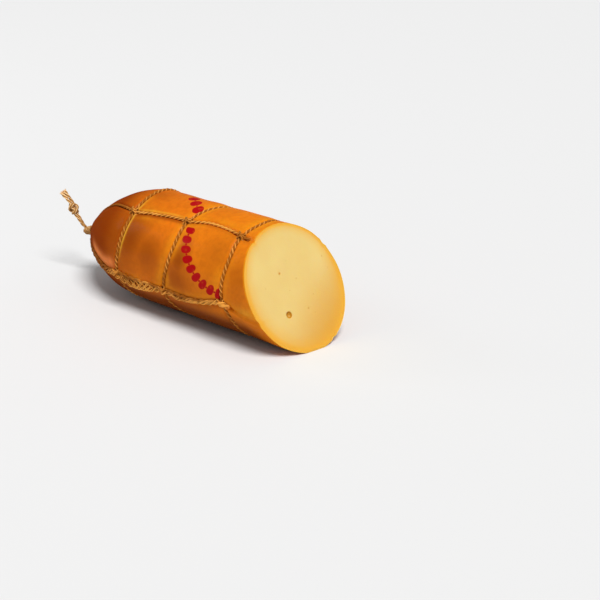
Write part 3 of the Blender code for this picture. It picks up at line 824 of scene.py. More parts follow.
def face_patch(settings, rim):
    """The cut face as rings between the eye and the casing's edge. Its height is a sum: a lip that
    falls from the rim, a knife's slow waves, the eye as a rounded bowl, and small pits."""
    eye, across, up, out = cut_frame()
    flat = rim - eye
    a, b = flat @ across, flat @ up
    far = np.hypot(a, b)
    turn = np.unwrap(np.arctan2(b, a))
    way = np.sign(turn[-1] - turn[0])
    even = turn[0] + way * np.arange(len(turn)) * 2 * np.pi / len(turn)
    order = np.argsort(turn)
    t = (np.arange(FACE_RINGS) + 1) / FACE_RINGS
    share = 1 - t + 0.6 * np.sin(2 * np.pi * t) / (2 * np.pi)
    share = np.maximum(share, 0.004)[:, None]
    relax = ease((1 - share) * 3)
    angle = turn * (1 - relax) + even * relax
    reach = np.interp(angle, turn[order], far[order], period=2 * np.pi)
    distance = share * reach
    p, q = distance * np.cos(angle), distance * np.sin(angle)
    from_rim = reach - distance
    bowl = np.clip(1 - (distance / settings.eye_radius) ** 2, 0, 1)
    # A slight dip worn round the eye, which also takes a little of the eye's colour
    wear_and_sheen = np.exp(-((distance / (1.5 * settings.eye_radius)) ** 2))
    height = -settings.eye_depth * np.sqrt(bowl) - 0.25 * MM * wear_and_sheen
    # The share of the eye's colour: the eye's own deeper paste, with painted shade in its bowl, and darker the deeper a
    # pit is
    hollow = ease(4 * (1.15 - (distance / settings.eye_radius) ** 2)) + 0.25 * wear_and_sheen
    for right, above, radius, depth in PITS:
        away = np.hypot(p - right * MM, q - above * MM) / (radius * MM)
        dent = np.exp(-away * away)
        height = height - depth * MM * dent
        hollow = hollow + (0.45 + 0.85 * depth) * dent
    height = height + 0.10 * MM * np.sin(p / (4.1 * MM) + 1.5 * np.sin(q / (17 * MM)))
    height = height + 0.12 * MM * np.sin(q / (9 * MM) + 1) * np.sin(p / (13 * MM))
    fade = 1 - np.exp(-from_rim / (2 * MM))
    height = height * fade - settings.lip * np.exp(-(((from_rim - 0.9 * MM) / (0.8 * MM)) ** 2))
    places = eye + p[..., None] * across + q[..., None] * up + height[..., None] * out
    columns = len(rim)
    places = np.concatenate((rim[None], places))
    values = {
        "valley": np.zeros(places.shape[:2]),
        "from_rim": np.concatenate((np.zeros((1, columns)), from_rim)) / (10 * MM),
        "hollow": np.concatenate((np.zeros((1, columns)), hollow)),
        "gleam": np.zeros(places.shape[:2]),
        "blush": np.zeros(places.shape[:2]),
        "shade": np.zeros(places.shape[:2]),
    }
    rows = len(places)
    return {
        "places": places[1:].reshape(-1, 3),
        "quads": grid_faces(rows, columns)[:, ::-1],
        "caps": [np.arange((rows - 1) * columns, rows * columns)[::-1]],
        "uv": np.zeros(((rows - 1) * columns, 4, 2)),
        "values": {name: value[1:].ravel() for name, value in values.items()},
    }


def cheese_patch(casing, face):
    """The casing's grid and the face's rings as one closed surface, which share the rim's vertices."""
    columns = len(face["caps"][0])
    first = len(casing["places"]) - columns
    return {
        "places": np.concatenate((casing["places"], face["places"])),
        "quads": np.concatenate((casing["quads"], face["quads"] + first)),
        "caps": casing["caps"] + [face["caps"][0] + first],
        "uv": np.concatenate((casing["uv"], face["uv"])),
        "values": {name: np.concatenate((value, face["values"][name])) for name, value in casing["values"].items()},
    }


def bead_bands(tree, unrolled):
    """The print: an arc and two short straight bands of plain beads, placed on the unrolled casing."""
    group = bead_group()
    x, y = part_of(tree, unrolled, 0), part_of(tree, unrolled, 1)

    def turned(place_x, place_angle, slope):
        right = calculate(tree, "SUBTRACT", x, place_x * MM)
        above = calculate(tree, "SUBTRACT", y, math.radians(place_angle) * LOG_RADIUS)
        cosine, sine = math.cos(math.radians(slope)), math.sin(math.radians(slope))
        along = calculate(tree, "MULTIPLY_ADD", right, cosine, calculate(tree, "MULTIPLY", above, sine))
        across = calculate(tree, "MULTIPLY_ADD", above, cosine, calculate(tree, "MULTIPLY", right, -sine))
        return along, across

    arc_radius = 61 * MM
    towards, beside = turned(95, 58, 227)
    distance = calculate(tree, "SQRT", calculate(tree, "ADD", calculate(tree, "POWER", towards, 2.0),
                                                 calculate(tree, "POWER", beside, 2.0)))
    turn = calculate(tree, "ARCTAN2", beside, towards)
    bands = [place_group(tree, group, {"Along": calculate(tree, "MULTIPLY", turn, arc_radius),
                                       "Across": calculate(tree, "SUBTRACT", distance, arc_radius),
                                       "Length": 90 * MM, "Step": 10.4 * MM})["Mask"]]
    for place_x, place_angle, slope, length, step in ((8, 87, 142, 48, 15), (116, -50, 80, 26, 9)):
        along, across = turned(place_x, place_angle, slope)
        inputs = {"Along": along, "Across": across, "Length": length * MM, "Step": step * MM}
        bands.append(place_group(tree, group, inputs)["Mask"])
    return calculate(tree, "MAXIMUM", bands[0], calculate(tree, "MAXIMUM", bands[1], bands[2]))


# Darker patches, where the casing took more smoke and, beside the second hoop, painted shade: places
# along X and angles, half sizes along and round, in millimetres and degrees, and how much
SMOKE_AND_SHADE_PATCHES = ((-40, 24, 24, 27, 0.95), (-10, 14, 22, 20, 0.75), (34, 2, 22, 20, 0.7), (-38, 82, 14, 10, 0.45),
                 (116, 18, 14, 22, 0.5), (75, 34, 18, 20, 0.35),
                 (35, 18, 11, 18, 0.85), (27, -9, 9, 8, 0.6), (12, 20, 10, 20, 0.4), (116, -18, 12, 14, 0.35), (60, 196, 26, 30, 0.6), (-14, 118, 22, 14, 0.5))


def smoke_and_shade_patches(tree, unrolled):
    """Soft ovals on the unrolled casing, the strongest of them at each place."""
    x, y = part_of(tree, unrolled, 0), part_of(tree, unrolled, 1)
    most = 0.0
    for place_x, angle, half_x, half_angle, share in SMOKE_AND_SHADE_PATCHES:
        right = calculate(tree, "MULTIPLY_ADD", x, 1 / (half_x * MM), -place_x / half_x)
        round_log = math.radians(half_angle) * LOG_RADIUS
        above = calculate(tree, "MULTIPLY_ADD", y, 1 / round_log, -angle / half_angle)
        away = calculate(tree, "ADD", calculate(tree, "POWER", right, 2.0), calculate(tree, "POWER", above, 2.0))
        bell = calculate(tree, "EXPONENT", calculate(tree, "MULTIPLY", away, -0.7))
        most = calculate(tree, "MAXIMUM", most, calculate(tree, "MULTIPLY", bell, share))
    return most


def casing_material(settings):
    """A smoked, glossy film: clouds of smoke, darker at the dome, painted shade beside the twine and on the underside,
    painted highlights on its folds and the dome's bulge, and the print.
    """
    material, tree, shader = new_material("smoked_casing", 0.33)
    place = coordinates(tree)
    mottle = place_group(tree, mottle_group(), {"Vector": place, "Size": 0.05, "Fineness": 9.0})
    clouds = calculate(tree, "MULTIPLY", mottle["Clouds"], 0.25)
    colour = blend(tree, clouds, settings.light_smoke, settings.deep_smoke_and_shade)
    colour = blend(tree, spread(tree, part_of(tree, place, 0), 0.0, 90 * MM, 0.0, 0.17), colour, settings.gold_and_fold_highlight)
    domed = spread(tree, part_of(tree, place, 0), -26 * MM, -86 * MM)
    colour = blend(tree, domed, colour, settings.dome_smoke)
    # Darker patches: heavier smoke, and painted shade beside the second hoop
    patches = smoke_and_shade_patches(tree, coordinates(tree, "UV"))
    colour = blend(tree, patches, colour, settings.deep_smoke_and_shade)
    # Painted shade on the log's underside, below 41 mm, lighter near the cut
    low = spread(tree, part_of(tree, place, 2), 41 * MM, 20 * MM, 0.0, 0.93)
    low = calculate(tree, "MULTIPLY", low, spread(tree, value_of(tree, "from_rim"), 0.4, 3.4, 0.3, 1.0))
    colour = blend(tree, low, colour, settings.groove)
    valley = value_of(tree, "valley")
    # Painted highlight on the folds beside the twine, broken up by noise, kept off the dome and the underside
    beside = calculate(tree, "MULTIPLY", spread(tree, valley, 0.03, 0.28), spread(tree, valley, 0.75, 0.45))
    wear_and_sheen = spread(tree, noise(tree, place, 24.0), 0.38, 0.62, 0.0, 0.45)
    gold_and_fold_highlight = calculate(tree, "MULTIPLY", calculate(tree, "MULTIPLY", beside, wear_and_sheen), spread(tree, domed, 0.4, 0.0))
    gold_and_fold_highlight = calculate(tree, "MULTIPLY", gold_and_fold_highlight, spread(tree, part_of(tree, place, 2), 30 * MM, 48 * MM))
    colour = blend(tree, gold_and_fold_highlight, colour, settings.gold_and_fold_highlight)
    # Painted highlight on the dome's bulge above the lower cord
    colour = blend(tree, calculate(tree, "MULTIPLY", value_of(tree, "blush"), 0.85), colour, settings.blush)
    colour = blend(tree, calculate(tree, "MULTIPLY", value_of(tree, "shade"), 0.75), colour, settings.deep_smoke_and_shade)
    # Painted highlight on the film's brightest folds
    colour = blend(tree, calculate(tree, "MULTIPLY", value_of(tree, "gleam"), 0.85), colour, settings.gleam)
    colour = blend(tree, spread(tree, value_of(tree, "from_rim"), 0.28, 0.02, 0.0, 0.8), colour, settings.gold_and_fold_highlight)
    # Painted shade and some dirt in the valley bottoms beside the twine
    colour = blend(tree, spread(tree, valley, 0.6, 0.95, 0.0, 0.6), colour, settings.groove)
    speck = spread(tree, mottle["Specks"], 0.35, 0.75, 0.0, 0.2)
    colour = blend(tree, speck, colour, settings.deep_smoke_and_shade)
    ink = calculate(tree, "MULTIPLY", bead_bands(tree, coordinates(tree, "UV")),
                    spread(tree, mottle["Specks"], 0.25, 0.45, 0.75, 1.0))
    feed(tree, shader.inputs["Base Color"], blend(tree, ink, colour, settings.print_red))
    feed(tree, shader.inputs["Roughness"], spread(tree, mottle["Specks"], 0.3, 0.7, 0.26, 0.42))
    grain = noise(tree, place, 420.0, 3.0, 0.6)
    creases = noise(tree, stretch(tree, place, (60.0, 190.0, 190.0)), 1.0, 2.0, 0.5)
    bumped(tree, shader, calculate(tree, "MULTIPLY_ADD", creases, 1.6, grain), 0.12 * MM, 0.8)
    shader.inputs["Specular IOR Level"].default_value = 0.0
    feed(tree, shader.inputs["Coat Weight"], spread(tree, domed, 0.2, 1.0, 0.09, 0.015))
    shader.inputs["Coat Roughness"].default_value = 0.17
    shader.inputs["Subsurface Weight"].default_value = 0.12
    shader.inputs["Subsurface Radius"].default_value = (1.0, 0.35, 0.08)
    shader.inputs["Subsurface Scale"].default_value = 4 * MM
    return material


def paste_material(settings):
    """Smooth, moist paste: pale in the middle, warmer low down, a deep band along the casing, and a
    darker eye and pits, partly their own colour and partly painted shade."""
    material, tree, shader = new_material("cut_paste", 0.46)
    place = coordinates(tree)
    mottle = place_group(tree, mottle_group(), {"Vector": place, "Size": 0.03, "Fineness": 12.0})
    beyond = calculate(tree, "MULTIPLY", part_of(tree, place, 1), -0.65)
    low = spread(tree, calculate(tree, "ADD", part_of(tree, place, 2), beyond), 60 * MM, -15 * MM)
    colour = blend(tree, low, settings.paste, settings.low_paste)
    cloudy = calculate(tree, "MULTIPLY", mottle["Clouds"], 0.14)
    colour = blend(tree, cloudy, colour, settings.low_paste)
    depth = value_of(tree, "from_rim")
    depth = calculate(tree, "MULTIPLY", depth, spread(tree, part_of(tree, place, 2), 55 * MM, 110 * MM, 1.0, 2.0))
    warm = spread(tree, depth, 2.2, 0.0, 0.0, 0.6)
    colour = blend(tree, warm, colour, settings.rim)
    edge = spread(tree, depth, 0.85, 0.20)
    colour = blend(tree, edge, colour, settings.rim)
    # The eye and pits: their own colour, partly painted shade
    colour = blend(tree, spread(tree, value_of(tree, "hollow"), 0.1, 1.1), colour, settings.eye)
    feed(tree, shader.inputs["Base Color"], colour)
    crumb = noise(tree, place, 700.0, 4.0, 0.6)
    smear = noise(tree, stretch(tree, place, (40.0, 160.0, 420.0)), 1.0, 3.0, 0.6)
    bumped(tree, shader, calculate(tree, "MULTIPLY_ADD", smear, 0.9, crumb), 0.10 * MM, 0.7)
    feed(tree, shader.inputs["Roughness"], spread(tree, mottle["Specks"], 0.3, 0.7, 0.38, 0.52))
    shader.inputs["Subsurface Weight"].default_value = 0.35
    shader.inputs["Subsurface Radius"].default_value = (1.0, 0.55, 0.16)
    shader.inputs["Subsurface Scale"].default_value = 5 * MM
    return material


class CHEESE_OT_log(bpy.types.Operator):
    """Make the log: its casing with the net's grooves, and its cut face"""

    bl_idname = "cheese.log"
    bl_label = "Log and Cut Face"

    def execute(self, context):
        casing, rim = casing_patch(context.scene.cheese_casing)
        face = face_patch(context.scene.cheese_face, rim)
        patch = cheese_patch(casing, face)
        materials = (casing_material(context.scene.cheese_casing), paste_material(context.scene.cheese_face))
        casing_faces, face_faces = len(casing["quads"]), len(face["quads"])
        slots = np.concatenate((np.zeros(casing_faces), np.ones(face_faces), (0, 1))).astype(np.int32)
        piece = make_piece("smoked_log", patch, materials, slots)
        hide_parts("cheese")
        return {"FINISHED"}


# The net

def fray_patch(end, ahead, out, radius, count, length, seed):
    """Loose fibres at a cut end: thin three-sided hairs that start inside it and bend away from its
    middle. Their places, lengths and bends are drawn from a seeded generator."""
    draw = np.random.default_rng(seed)
    turn = draw.uniform(0, 2 * math.pi, count)
    inside = radius * np.sqrt(draw.uniform(0, 1, count))
    reach = length * draw.uniform(0.45, 1, count)
    flare = draw.uniform(0.1, 0.9, count) * inside / radius
    side = unit(np.cross(ahead, out))
    deep = np.cross(side, ahead)
    away = np.cos(turn)[:, None] * side + np.sin(turn)[:, None] * deep
    t = np.linspace(0, 1, 5)
    start = end - 0.6 * MM * ahead + inside[:, None] * away
    points = start[:, None] + (reach[:, None] * t)[..., None] * ahead
    points = points + (reach[:, None] * flare[:, None] * t**2)[..., None] * away[:, None]
    corner = np.arange(3) * 2 * math.pi / 3
    thin = 0.14 * MM * (1 - 0.6 * t)
    ring = np.cos(corner)[:, None] * side + np.sin(corner)[:, None] * deep
    places = points[:, :, None] + thin[None, :, None, None] * ring
    hair = grid_faces(len(t), 3)
    quads = (hair[None] + 15 * np.arange(count)[:, None, None]).reshape(-1, 4)
    caps = [15 * i + corners for i in range(count) for corners in (np.array((0, 1, 2)), np.array((14, 13, 12)))]
    return {"places": places.reshape(-1, 3), "quads": quads, "caps": caps,
            "uv": np.zeros((len(quads), 4, 2)), "values": {"crest": np.ones(15 * count)}}


def twine_material(name, straw, stain_and_crevice_shade, bright, clean_x, dark_x, darkening):
    """Plied natural fibre: raised hairs paler as painted light, crevices darker as painted shade, and stained patches.
    It darkens from one place along X to another; where its value for paleness and painted light is high it is paler,
    with painted light on its raised fibres."""
    material, tree, shader = new_material(name, 0.8)
    fibres = place_group(tree, fibre_group(), {
        "UV": coordinates(tree, "UV"), "Crest": value_of(tree, "crest"), "Fineness": 1.0})
    stained = spread(tree, noise(tree, coordinates(tree), 60.0, 2.0, 0.5), 0.35, 0.7, 0.0, 0.45)
    stained = calculate(tree, "ADD", stained, spread(
        tree, part_of(tree, coordinates(tree), 0), clean_x, dark_x, 0.0, darkening))
    pale = calculate(tree, "SUBTRACT", fibres["Pale"], stained)
    pale = calculate(tree, "MULTIPLY_ADD", value_of(tree, "tint"), 0.4, pale)
    colour = blend(tree, spread(tree, pale, 0.05, 0.7), stain_and_crevice_shade, straw)
    # Painted light: where the twine is marked paler and lit, its raised fibres take the bright colour
    lit = calculate(tree, "MULTIPLY", spread(tree, value_of(tree, "tint"), 0.4, 1.0, 0.0, 0.7), spread(tree, pale, 0.2, 0.8))
    feed(tree, shader.inputs["Base Color"], blend(tree, lit, colour, bright))
    bumped(tree, shader, fibres["Height"], 0.25 * MM)
    shader.inputs["Specular IOR Level"].default_value = 0.12
    return material


def net_material(settings):
    return bpy.data.materials.get("net_twine") or twine_material(
        "net_twine", settings.straw, settings.stain_and_crevice_shade, settings.lit_straw, -56 * MM, -98 * MM, 0.7)


def tail_material(settings):
    return bpy.data.materials.get("tail_twine") or twine_material(
        "tail_twine", settings.tail_straw, settings.tail_stain_and_crevice_shade, settings.tail_straw, -180 * MM, -168 * MM, 0.3)


HOOP_TINT = -0.1
HOOP_TOP_LIGHT = (0.0, 0.75, 0.35)  # painted light: how much paler each hoop is over the log's top, where the light falls


class CHEESE_OT_hoops(bpy.types.Operator):
    """Make the turns of twine round the log"""

    bl_idname = "cheese.hoops"
    bl_label = "Hoops"

    def execute(self, context):
        settings = context.scene.cheese_twine
        for hoop in range(len(HOOPS)):
            angle = np.linspace(0, 360, round(2 * math.pi * LOG_RADIUS / settings.spacing), endpoint=False)
            points = on_log(hoop_x(hoop, angle), angle, hoop_radius(hoop, angle))
            patch = laid_twine(points, outward(angle), settings.fullness * TWINE_RADIUS, 2, settings.lay, closed=True)
            # Painted light on each hoop where it passes over the log's top
            over_top = np.exp(-(((angle - 76) / 18) ** 2))
            patch["values"]["tint"] = np.repeat(HOOP_TINT + HOOP_TOP_LIGHT[hoop] * over_top,
                                                len(patch["places"]) // len(angle))
            piece = make_piece(f"twine_hoop_{hoop + 1}", patch, [net_material(settings)])
            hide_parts(f"hoop_{hoop + 1}")
        return {"FINISHED"}


def soft_max(first, second, width):
    """The larger of two, with a rounded changeover."""
    return 0.5 * (first + second + np.sqrt((first - second) ** 2 + width**2))


def away_from_middle(points):
    """Unit vectors from the log's centre line to points, square to X."""
    offset = points - centre(points[:, 0])
    return unit(offset * (0, 1, 1))


def cord_dense(cord, start, end):
    """Places along X close together, and the length along the cord's middle line at each."""
    x = np.linspace(start, end, 1500)
    line = on_log(x, cord_angle(cord, x), cord_radius(cord, x))
    return x, np.concatenate(([0], np.cumsum(np.linalg.norm(np.diff(line, axis=0), axis=1))))


def cord_strand(cord, x, aside, lift, strand_radius):
    """A strand beside and above a cord's middle line, kept up on the casing under it."""
    angle = cord_angle(cord, x) + np.degrees(aside / crest(x))
    on_skin = skin(x, angle) + 0.55 * strand_radius
    return on_log(x, angle, soft_max(cord_radius(cord, x) + lift, on_skin, 0.3 * MM))


def hitch_patches(cord, hoop, settings):
    """The two turns of twine that hitch a cord to a hoop: arches that cross slantwise over it, with
    their ends tucked into the casing."""
    middle = crossing_x(cord, hoop)
    t = np.linspace(-1, 1, 40)
    patches = []
    for half_length, half_width, rise in ((5.6, 3.6, 0.5), (3.4, -4.6, -0.5)):
        x = middle + t * half_length * MM
        aside = np.degrees(-t * half_width * MM / LOG_RADIUS)
        angle = cord_angle(cord, x) + aside
        top = cord_radius(cord, np.array([middle]))[0] + rise * MM
        floor = skin(x, angle) - 0.4 * MM
        radius = floor + (top - floor) * (1 - np.abs(t) ** 2.6)
        points = on_log(x, angle, radius)
        patches.append(laid_twine(evenly(points, settings.spacing), outward(angle[20:21]),
                                  0.85 * TWINE_RADIUS, 2, 0.8 * settings.lay))
    return patches


# How far each side of the heavy cord's middle its strands reach, and how far they lie below it, in
# millimetres, at places along X
HEAVY_REACH = ((-152, 0.9), (-118, 2.2), (-100, 3.4), (-80, 3.6), (-66, 3.2), (-57, 3.2), (-49, 5.8), (-40, 6.4),
               (-25, 6.0), (-8, 4.6), (4, 3.0), (12, 2.2), (20, 3.0), (30, 3.5), (40, 2.9), (60, 1.6), (85, 1.4),
               (96, 1.2), (104, 2.6))
HEAVY_SAG = ((-152, 0.0), (-118, 1.0), (-90, 1.8), (-66, 1.0), (-54, 0.8), (-40, 1.6), (-22, 1.6), (-5, 0.8), (14, 0.0),
             (30, 0.4), (60, 0.0), (104, 0.0))
HEAVY_STRANDS = 4
HEAVY_STRAND_RADIUS = 1.55 * MM
HEAVY_STRAND_LIFT = 1.0 * MM
HEAVY_PITCH = 34 * MM


def heavy_patches(cord, settings):
    """The heavy cord: loose strands, each a twine, that wind round its middle line on an ellipse as
    wide as HEAVY_REACH says and as high as the cord."""
    end = crossing_x(cord, len(HOOPS) - 1) + STUB_LENGTH
    x, along = cord_dense(cord, CORD_START_X, end)
    reach = through(HEAVY_REACH, x / MM) * MM
    sag = through(HEAVY_SAG, x / MM) * MM
    patches = []
    for number in range(HEAVY_STRANDS):
        wander = 0.5 * np.sin(along / (11 * MM) + number)
        phase = 2 * math.pi * (along / HEAVY_PITCH + number / HEAVY_STRANDS) + wander
        lift = HEAVY_STRAND_LIFT * np.cos(phase)
        line = cord_strand(cord, x, reach * np.sin(phase) - sag, lift, HEAVY_STRAND_RADIUS)
        points = evenly(line, settings.spacing)[: -1 - 4 * number]
        strand = laid_twine(points, away_from_middle(points), HEAVY_STRAND_RADIUS, 3, 3.2 * settings.lay)
        rows = len(points) + 2 * len(END_ROUNDING)
        # Painted shade: a strand that dives under the others is darkened through its crest value; one on top is left
        # pale
        on_top = np.interp(np.linspace(0, 1, rows), np.linspace(0, 1, len(x)), 0.5 + 0.5 * np.cos(phase))
        shown = (0.25 + 0.75 * ease(on_top * 1.4))[:, None]
        crests = strand["values"]["crest"].reshape(rows, -1)
        strand["values"]["crest"] = (shown * (0.3 + 0.7 * crests)).ravel()
        patches.append(strand)
        patches.append(stub_fray(points, HEAVY_STRAND_RADIUS, number))
    return patches


def light_patches(cord, settings):
    """A light cord: one twine along its middle line."""
    end = crossing_x(cord, len(HOOPS) - 1) + STUB_LENGTH
    x, along = cord_dense(cord, CORD_START_X, end)
    wander = 0.25 * MM * np.sin(along / (9 * MM)) * np.sin(along / (23 * MM))
    points = evenly(cord_strand(cord, x, wander, np.zeros_like(x), TWINE_RADIUS), settings.spacing)
    twine = laid_twine(points, away_from_middle(points), 0.8 * settings.fullness * TWINE_RADIUS, 2, settings.lay)
    twine["values"]["crest"] = 0.12 + 0.88 * twine["values"]["crest"]
    return [twine, stub_fray(points, TWINE_RADIUS, 7)]


def stub_fray(points, radius, seed):
    ahead = unit(points[-1] - points[-4])
    return fray_patch(points[-1], ahead, away_from_middle(points[-1:])[0], radius, 36, 2.2 * MM, seed)


# How much paler each cord is, partly painted light as on the upper cord lit from above, at places along X in
# millimetres
CORD_PALENESS_AND_LIGHT = {
    "lower": ((-130, 0.1), (-90, 0.45), (-60, 0.55), (-50, 0.4), (-38, 0.75), (10, 0.75), (26, 0.0), (40, 0.2), (54, 0.8), (170, 0.8)),
    "upper": ((-50, 0.0), (-38, 0.75), (86, 0.8), (98, -0.1), (170, -0.1)),
    "far_upper": ((-50, 0.0), (-38, 0.3), (170, 0.3)),
    "far_lower": ((-50, 0.0), (-38, 0.3), (170, 0.3)),
}
HITCH_TINT = 0.35  # the share of its cord's paleness and painted light that a hitch has


class CHEESE_OT_cords(bpy.types.Operator):
    """Make the lengthwise cords with their hitches over the hoops and their cut stubs"""

    bl_idname = "cheese.cords"
    bl_label = "Lengthwise Cords"

    def execute(self, context):
        settings = context.scene.cheese_twine
        for cord, (_, radius) in CORDS.items():
            make = heavy_patches if radius > TWINE_RADIUS else light_patches
            patches = make(cord, settings)
            hitches = [patch for hoop in range(len(HOOPS)) for patch in hitch_patches(cord, hoop, settings)]
            # Each cord's paleness and painted light along X, and a share of it on its hitches
            places, tints = zip(*CORD_PALENESS_AND_LIGHT[cord])
            for share, group in ((1, patches), (HITCH_TINT, hitches)):
                for patch in group:
                    patch["values"]["tint"] = share * np.interp(patch["places"][:, 0] / MM, places, tints)
            patch = join_patches(patches + hitches)
            piece = make_piece(f"twine_{cord}_cord", patch, [net_material(settings)])
            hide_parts(f"{cord}_cord")
        return {"FINISHED"}


# The tail

WRAP_LOW, WRAP_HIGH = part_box("tail_wrap")
WRAP_TWINE_RADIUS = 1.3 * MM
WRAP_TURNS = 4.1
WRAP_TAPER = 0.22
STRAND_TURNS = (80, 35, 5)  # degrees from TAIL_SIDE at the wrap, at the knot and at the cut ends
END_SPREAD = 0.1  # how much wider the strands stand at their cut ends
STRAND_FULLNESS = 1.12  # the strands' radius for their solids'
STRAND_FLARE = 0.4  # how much fuller they are where they come loose at their cut ends
STRAND_PINCH = 0.15  # how much closer the strands lie at the wrap
KNOT_TURN = 45  # degrees round its axis


class CHEESE_OT_wrap(bpy.types.Operator):
    """Make the turns of twine that close the casing's gathered end"""

    bl_idname = "cheese.wrap"
    bl_label = "Tail Wrap"

    def execute(self, context):
        settings = context.scene.cheese_twine
        t = np.linspace(0, 1, 260)
        x = WRAP_HIGH.x - WRAP_TWINE_RADIUS + t * (WRAP_LOW.x - WRAP_HIGH.x + 2 * WRAP_TWINE_RADIUS)
        angle = 360 * WRAP_TURNS * t + 60
        radius = (NECK_RADIUS + TWINE_GAP + WRAP_TWINE_RADIUS) * (1 - WRAP_TAPER * t)
        radius = radius + 0.25 * MM * np.sin(np.radians(3 * angle))
        dense = centre(x) + outward(angle) * radius[:, None]
        points = evenly(dense, 0.8 * settings.spacing)
        patch = laid_twine(points, (1.0, 0.0, 0.0), WRAP_TWINE_RADIUS, 3, 0.75 * settings.lay)
        piece = make_piece("wrap_twine", patch, [tail_material(settings)])
        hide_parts("tail_wrap")
        return {"FINISHED"}


def tail_middle(count):
    """Points of the smooth curve through the tail's places, and the share of its length at each."""
    corners = np.array((*TAIL_ROUTE, KNOT_CENTRE, *END_ROUTE)) * MM
    at = np.concatenate(([0], np.cumsum(np.linalg.norm(np.diff(corners, axis=0), axis=1))))
    places = np.linspace(0, at[-1], count)
    points = np.stack([through(np.stack((at, corners[:, axis]), axis=1), places) for axis in range(3)], axis=1)
    knot_share = at[len(TAIL_ROUTE)] / at[-1]
    return points, places / at[-1], knot_share


def tail_strand(side, count):
    """One of the tail's two strands: beside the middle curve, turning from the wrap to the knot and
    spreading to the cut ends."""
    points, share, knot_share = tail_middle(count)
    ahead = unit(np.gradient(points, axis=0))
    reference = np.array(TAIL_SIDE)
    across = unit(reference - (ahead @ reference)[:, None] * ahead)
    deep = np.cross(ahead, across)
    turn = np.radians(np.interp(share, (0, knot_share, 1), STRAND_TURNS))
    apart = side * TAIL_HALF_SPACING * (1 + END_SPREAD * ease((share - knot_share) / (1 - knot_share)))
    apart = apart * (1 - STRAND_PINCH * ease(1 - share / (0.6 * knot_share)))
    beside = np.cos(turn)[:, None] * across + np.sin(turn)[:, None] * deep
    return points + apart[:, None] * beside


def knot_patch(settings):
    """The knot: twine along a closed line that goes three times round the knot's axis while it dips
    twice through the middle, which is an overhand knot pulled tight."""
    axis = unit(np.array(KNOT_AXIS))
    side = unit(np.cross(axis, (0.0, 1.0, 0.2)))
    deep = np.cross(axis, side)
    t = np.linspace(0, 2 * math.pi, 900, endpoint=False)
    wide = (3.1 + 1.25 * np.cos(2 * t)) * MM
    high = 4.5 * MM * np.sin(2 * t)
    turn = 3 * t + math.radians(KNOT_TURN)
    points = np.array(KNOT_CENTRE) * MM + (wide * np.cos(turn))[:, None] * side
    points = points + (wide * np.sin(turn))[:, None] * deep + high[:, None] * axis
    points = evenly(np.concatenate((points, points[:1])), 0.8 * settings.spacing)[:-1]
    outwards = points - np.array(KNOT_CENTRE) * MM
    return laid_twine(points, outwards, 1.75 * MM, 3, 1.8 * settings.lay, closed=True)


class CHEESE_OT_tail(bpy.types.Operator):
    """Make the tail's two strands, from the wrap through the knot to their cut ends, and the knot"""

    bl_idname = "cheese.tail"
    bl_label = "Tail Strands and Knot"

    def execute(self, context):
        settings = context.scene.cheese_twine
        look = tail_material(settings)
        knot = make_piece("tail_knot_twine", knot_patch(settings), [look])
        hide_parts("tail_knot")
        for number, side in ((1, 1), (2, -1)):
            line = tail_strand(side, 300)
            ahead = unit(line[-1] - line[-4])
            fray = fray_patch(line[-1], ahead, np.array(TAIL_SIDE), 1.3 * TAIL_TWINE_RADIUS, 130, 3.0 * MM, number)
            fringe = make_piece(f"tail_fray_{number}", fray, [look])
            points = evenly(line, settings.spacing)
            loose = ease((np.linspace(0, 1, len(points)) - 0.8) / 0.2)
            patch = laid_twine(points, np.array(TAIL_SIDE), STRAND_FULLNESS * TAIL_TWINE_RADIUS, 3,
                               1.6 * settings.lay, scale=1 + STRAND_FLARE * loose)
            strand = make_piece(f"tail_strand_{number}", patch, [look])
            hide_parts(f"tail_twine_{number}", f"tail_end_{number}")
        return {"FINISHED"}


# The stage

CAMERA_PLACE = (0.9693, -0.9211, 0.5282)
CAMERA_AIM = (0.0945, 0.0555, 0.0175)


def aim(thing, place, target):
    thing.location = place
    thing.rotation_mode = "QUATERNION"
    thing.rotation_quaternion = (Vector(target) - Vector(place)).to_track_quat("-Z", "Y")


class CHEESE_OT_camera(bpy.types.Operator):
    """Make the camera, in front of the cut and above it"""

    bl_idname = "cheese.camera"
    bl_label = "Camera"

    def execute(self, context):
        lens = bpy.data.cameras.new("camera")
        lens.lens = context.scene.cheese_stage.lens
        lens.sensor_width = 36
        camera = bpy.data.objects.new("camera", lens)
        context.scene.collection.objects.link(camera)
        aim(camera, CAMERA_PLACE, CAMERA_AIM)
        context.scene.camera = camera
        return {"FINISHED"}


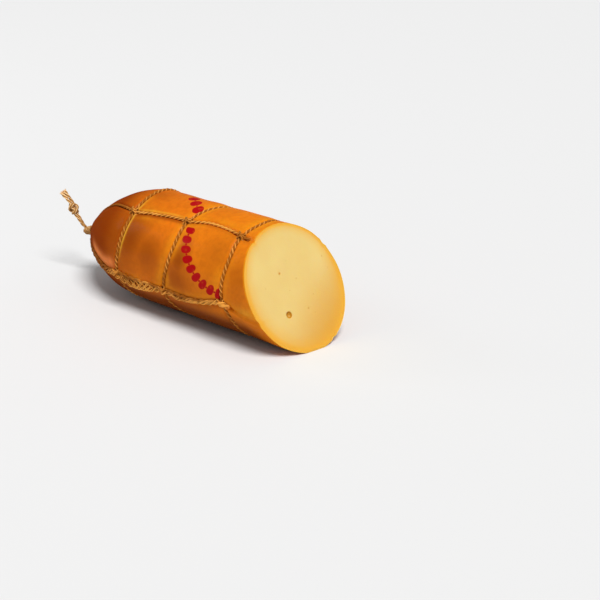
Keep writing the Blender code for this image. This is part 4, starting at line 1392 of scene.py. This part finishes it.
class CHEESE_OT_stage(bpy.types.Operator):
    """Make the plain floor and the soft lights"""

    bl_idname = "cheese.stage"
    bl_label = "Floor and Lights"

    def execute(self, context):
        settings = context.scene.cheese_stage
        floor_mesh = bpy.data.meshes.new("floor")
        half = 6.0
        floor_mesh.from_pydata([(-half, -half, 0), (half, -half, 0), (half, half, 0), (-half, half, 0)], [], [(0, 1, 2, 3)])
        material, _, shader = new_material("floor", 0.9)
        shader.inputs["Base Color"].default_value = settings.floor
        floor_mesh.materials.append(material)
        floor = bpy.data.objects.new("floor", floor_mesh)
        context.scene.collection.objects.link(floor)
        key = bpy.data.lights.new("key", "SUN")
        key.angle = settings.key_spread
        key.energy = settings.key_strength
        fill = bpy.data.lights.new("fill", "AREA")
        fill.size = 0.6
        fill.energy = settings.fill_power
        for lamp, place in ((key, (1.3, -0.6, 2.4)), (fill, (-1.6, -0.8, 0.9))):
            light = bpy.data.objects.new(lamp.name, lamp)
            context.scene.collection.objects.link(light)
            aim(light, place, (0, 0, 0.05))
        world = bpy.data.worlds.new("studio")
        world.use_nodes = True
        world.node_tree.nodes["Background"].inputs["Color"].default_value = (1, 1, 1, 1)
        world.node_tree.nodes["Background"].inputs["Strength"].default_value = settings.sky
        context.scene.world = world
        context.scene.view_settings.view_transform = "Standard"
        return {"FINISHED"}


class CHEESE_PT_panel(bpy.types.Panel):
    """The cheese's operators, in the order in which they are used"""

    bl_label = "Netted Smoked Provolone"
    bl_idname = "CHEESE_PT_panel"
    bl_space_type = "VIEW_3D"
    bl_region_type = "UI"
    bl_category = "Cheese"

    def draw(self, context):
        for operator in OPERATORS:
            self.layout.operator(operator.bl_idname)


OPERATORS = (CHEESE_OT_camera, CHEESE_OT_tail, CHEESE_OT_wrap, CHEESE_OT_hoops, CHEESE_OT_cords, CHEESE_OT_log,
             CHEESE_OT_stage)
SETTINGS = {"cheese_casing": CasingSettings, "cheese_face": FaceSettings, "cheese_twine": TwineSettings,
            "cheese_stage": StageSettings}


def register():
    for made in (*SETTINGS.values(), *OPERATORS, CHEESE_PT_panel):
        bpy.utils.register_class(made)
    for name, group in SETTINGS.items():
        setattr(bpy.types.Scene, name, bpy.props.PointerProperty(type=group))


def unregister():
    for name in SETTINGS:
        delattr(bpy.types.Scene, name)
    for made in reversed((*SETTINGS.values(), *OPERATORS, CHEESE_PT_panel)):
        bpy.utils.unregister_class(made)


def main():
    register()
    bpy.ops.cheese.camera()
    bpy.ops.cheese.tail()
    bpy.ops.cheese.wrap()
    bpy.ops.cheese.hoops()
    bpy.ops.cheese.cords()
    bpy.ops.cheese.log()
    bpy.ops.cheese.stage()


if __name__ == "__main__":
    main()
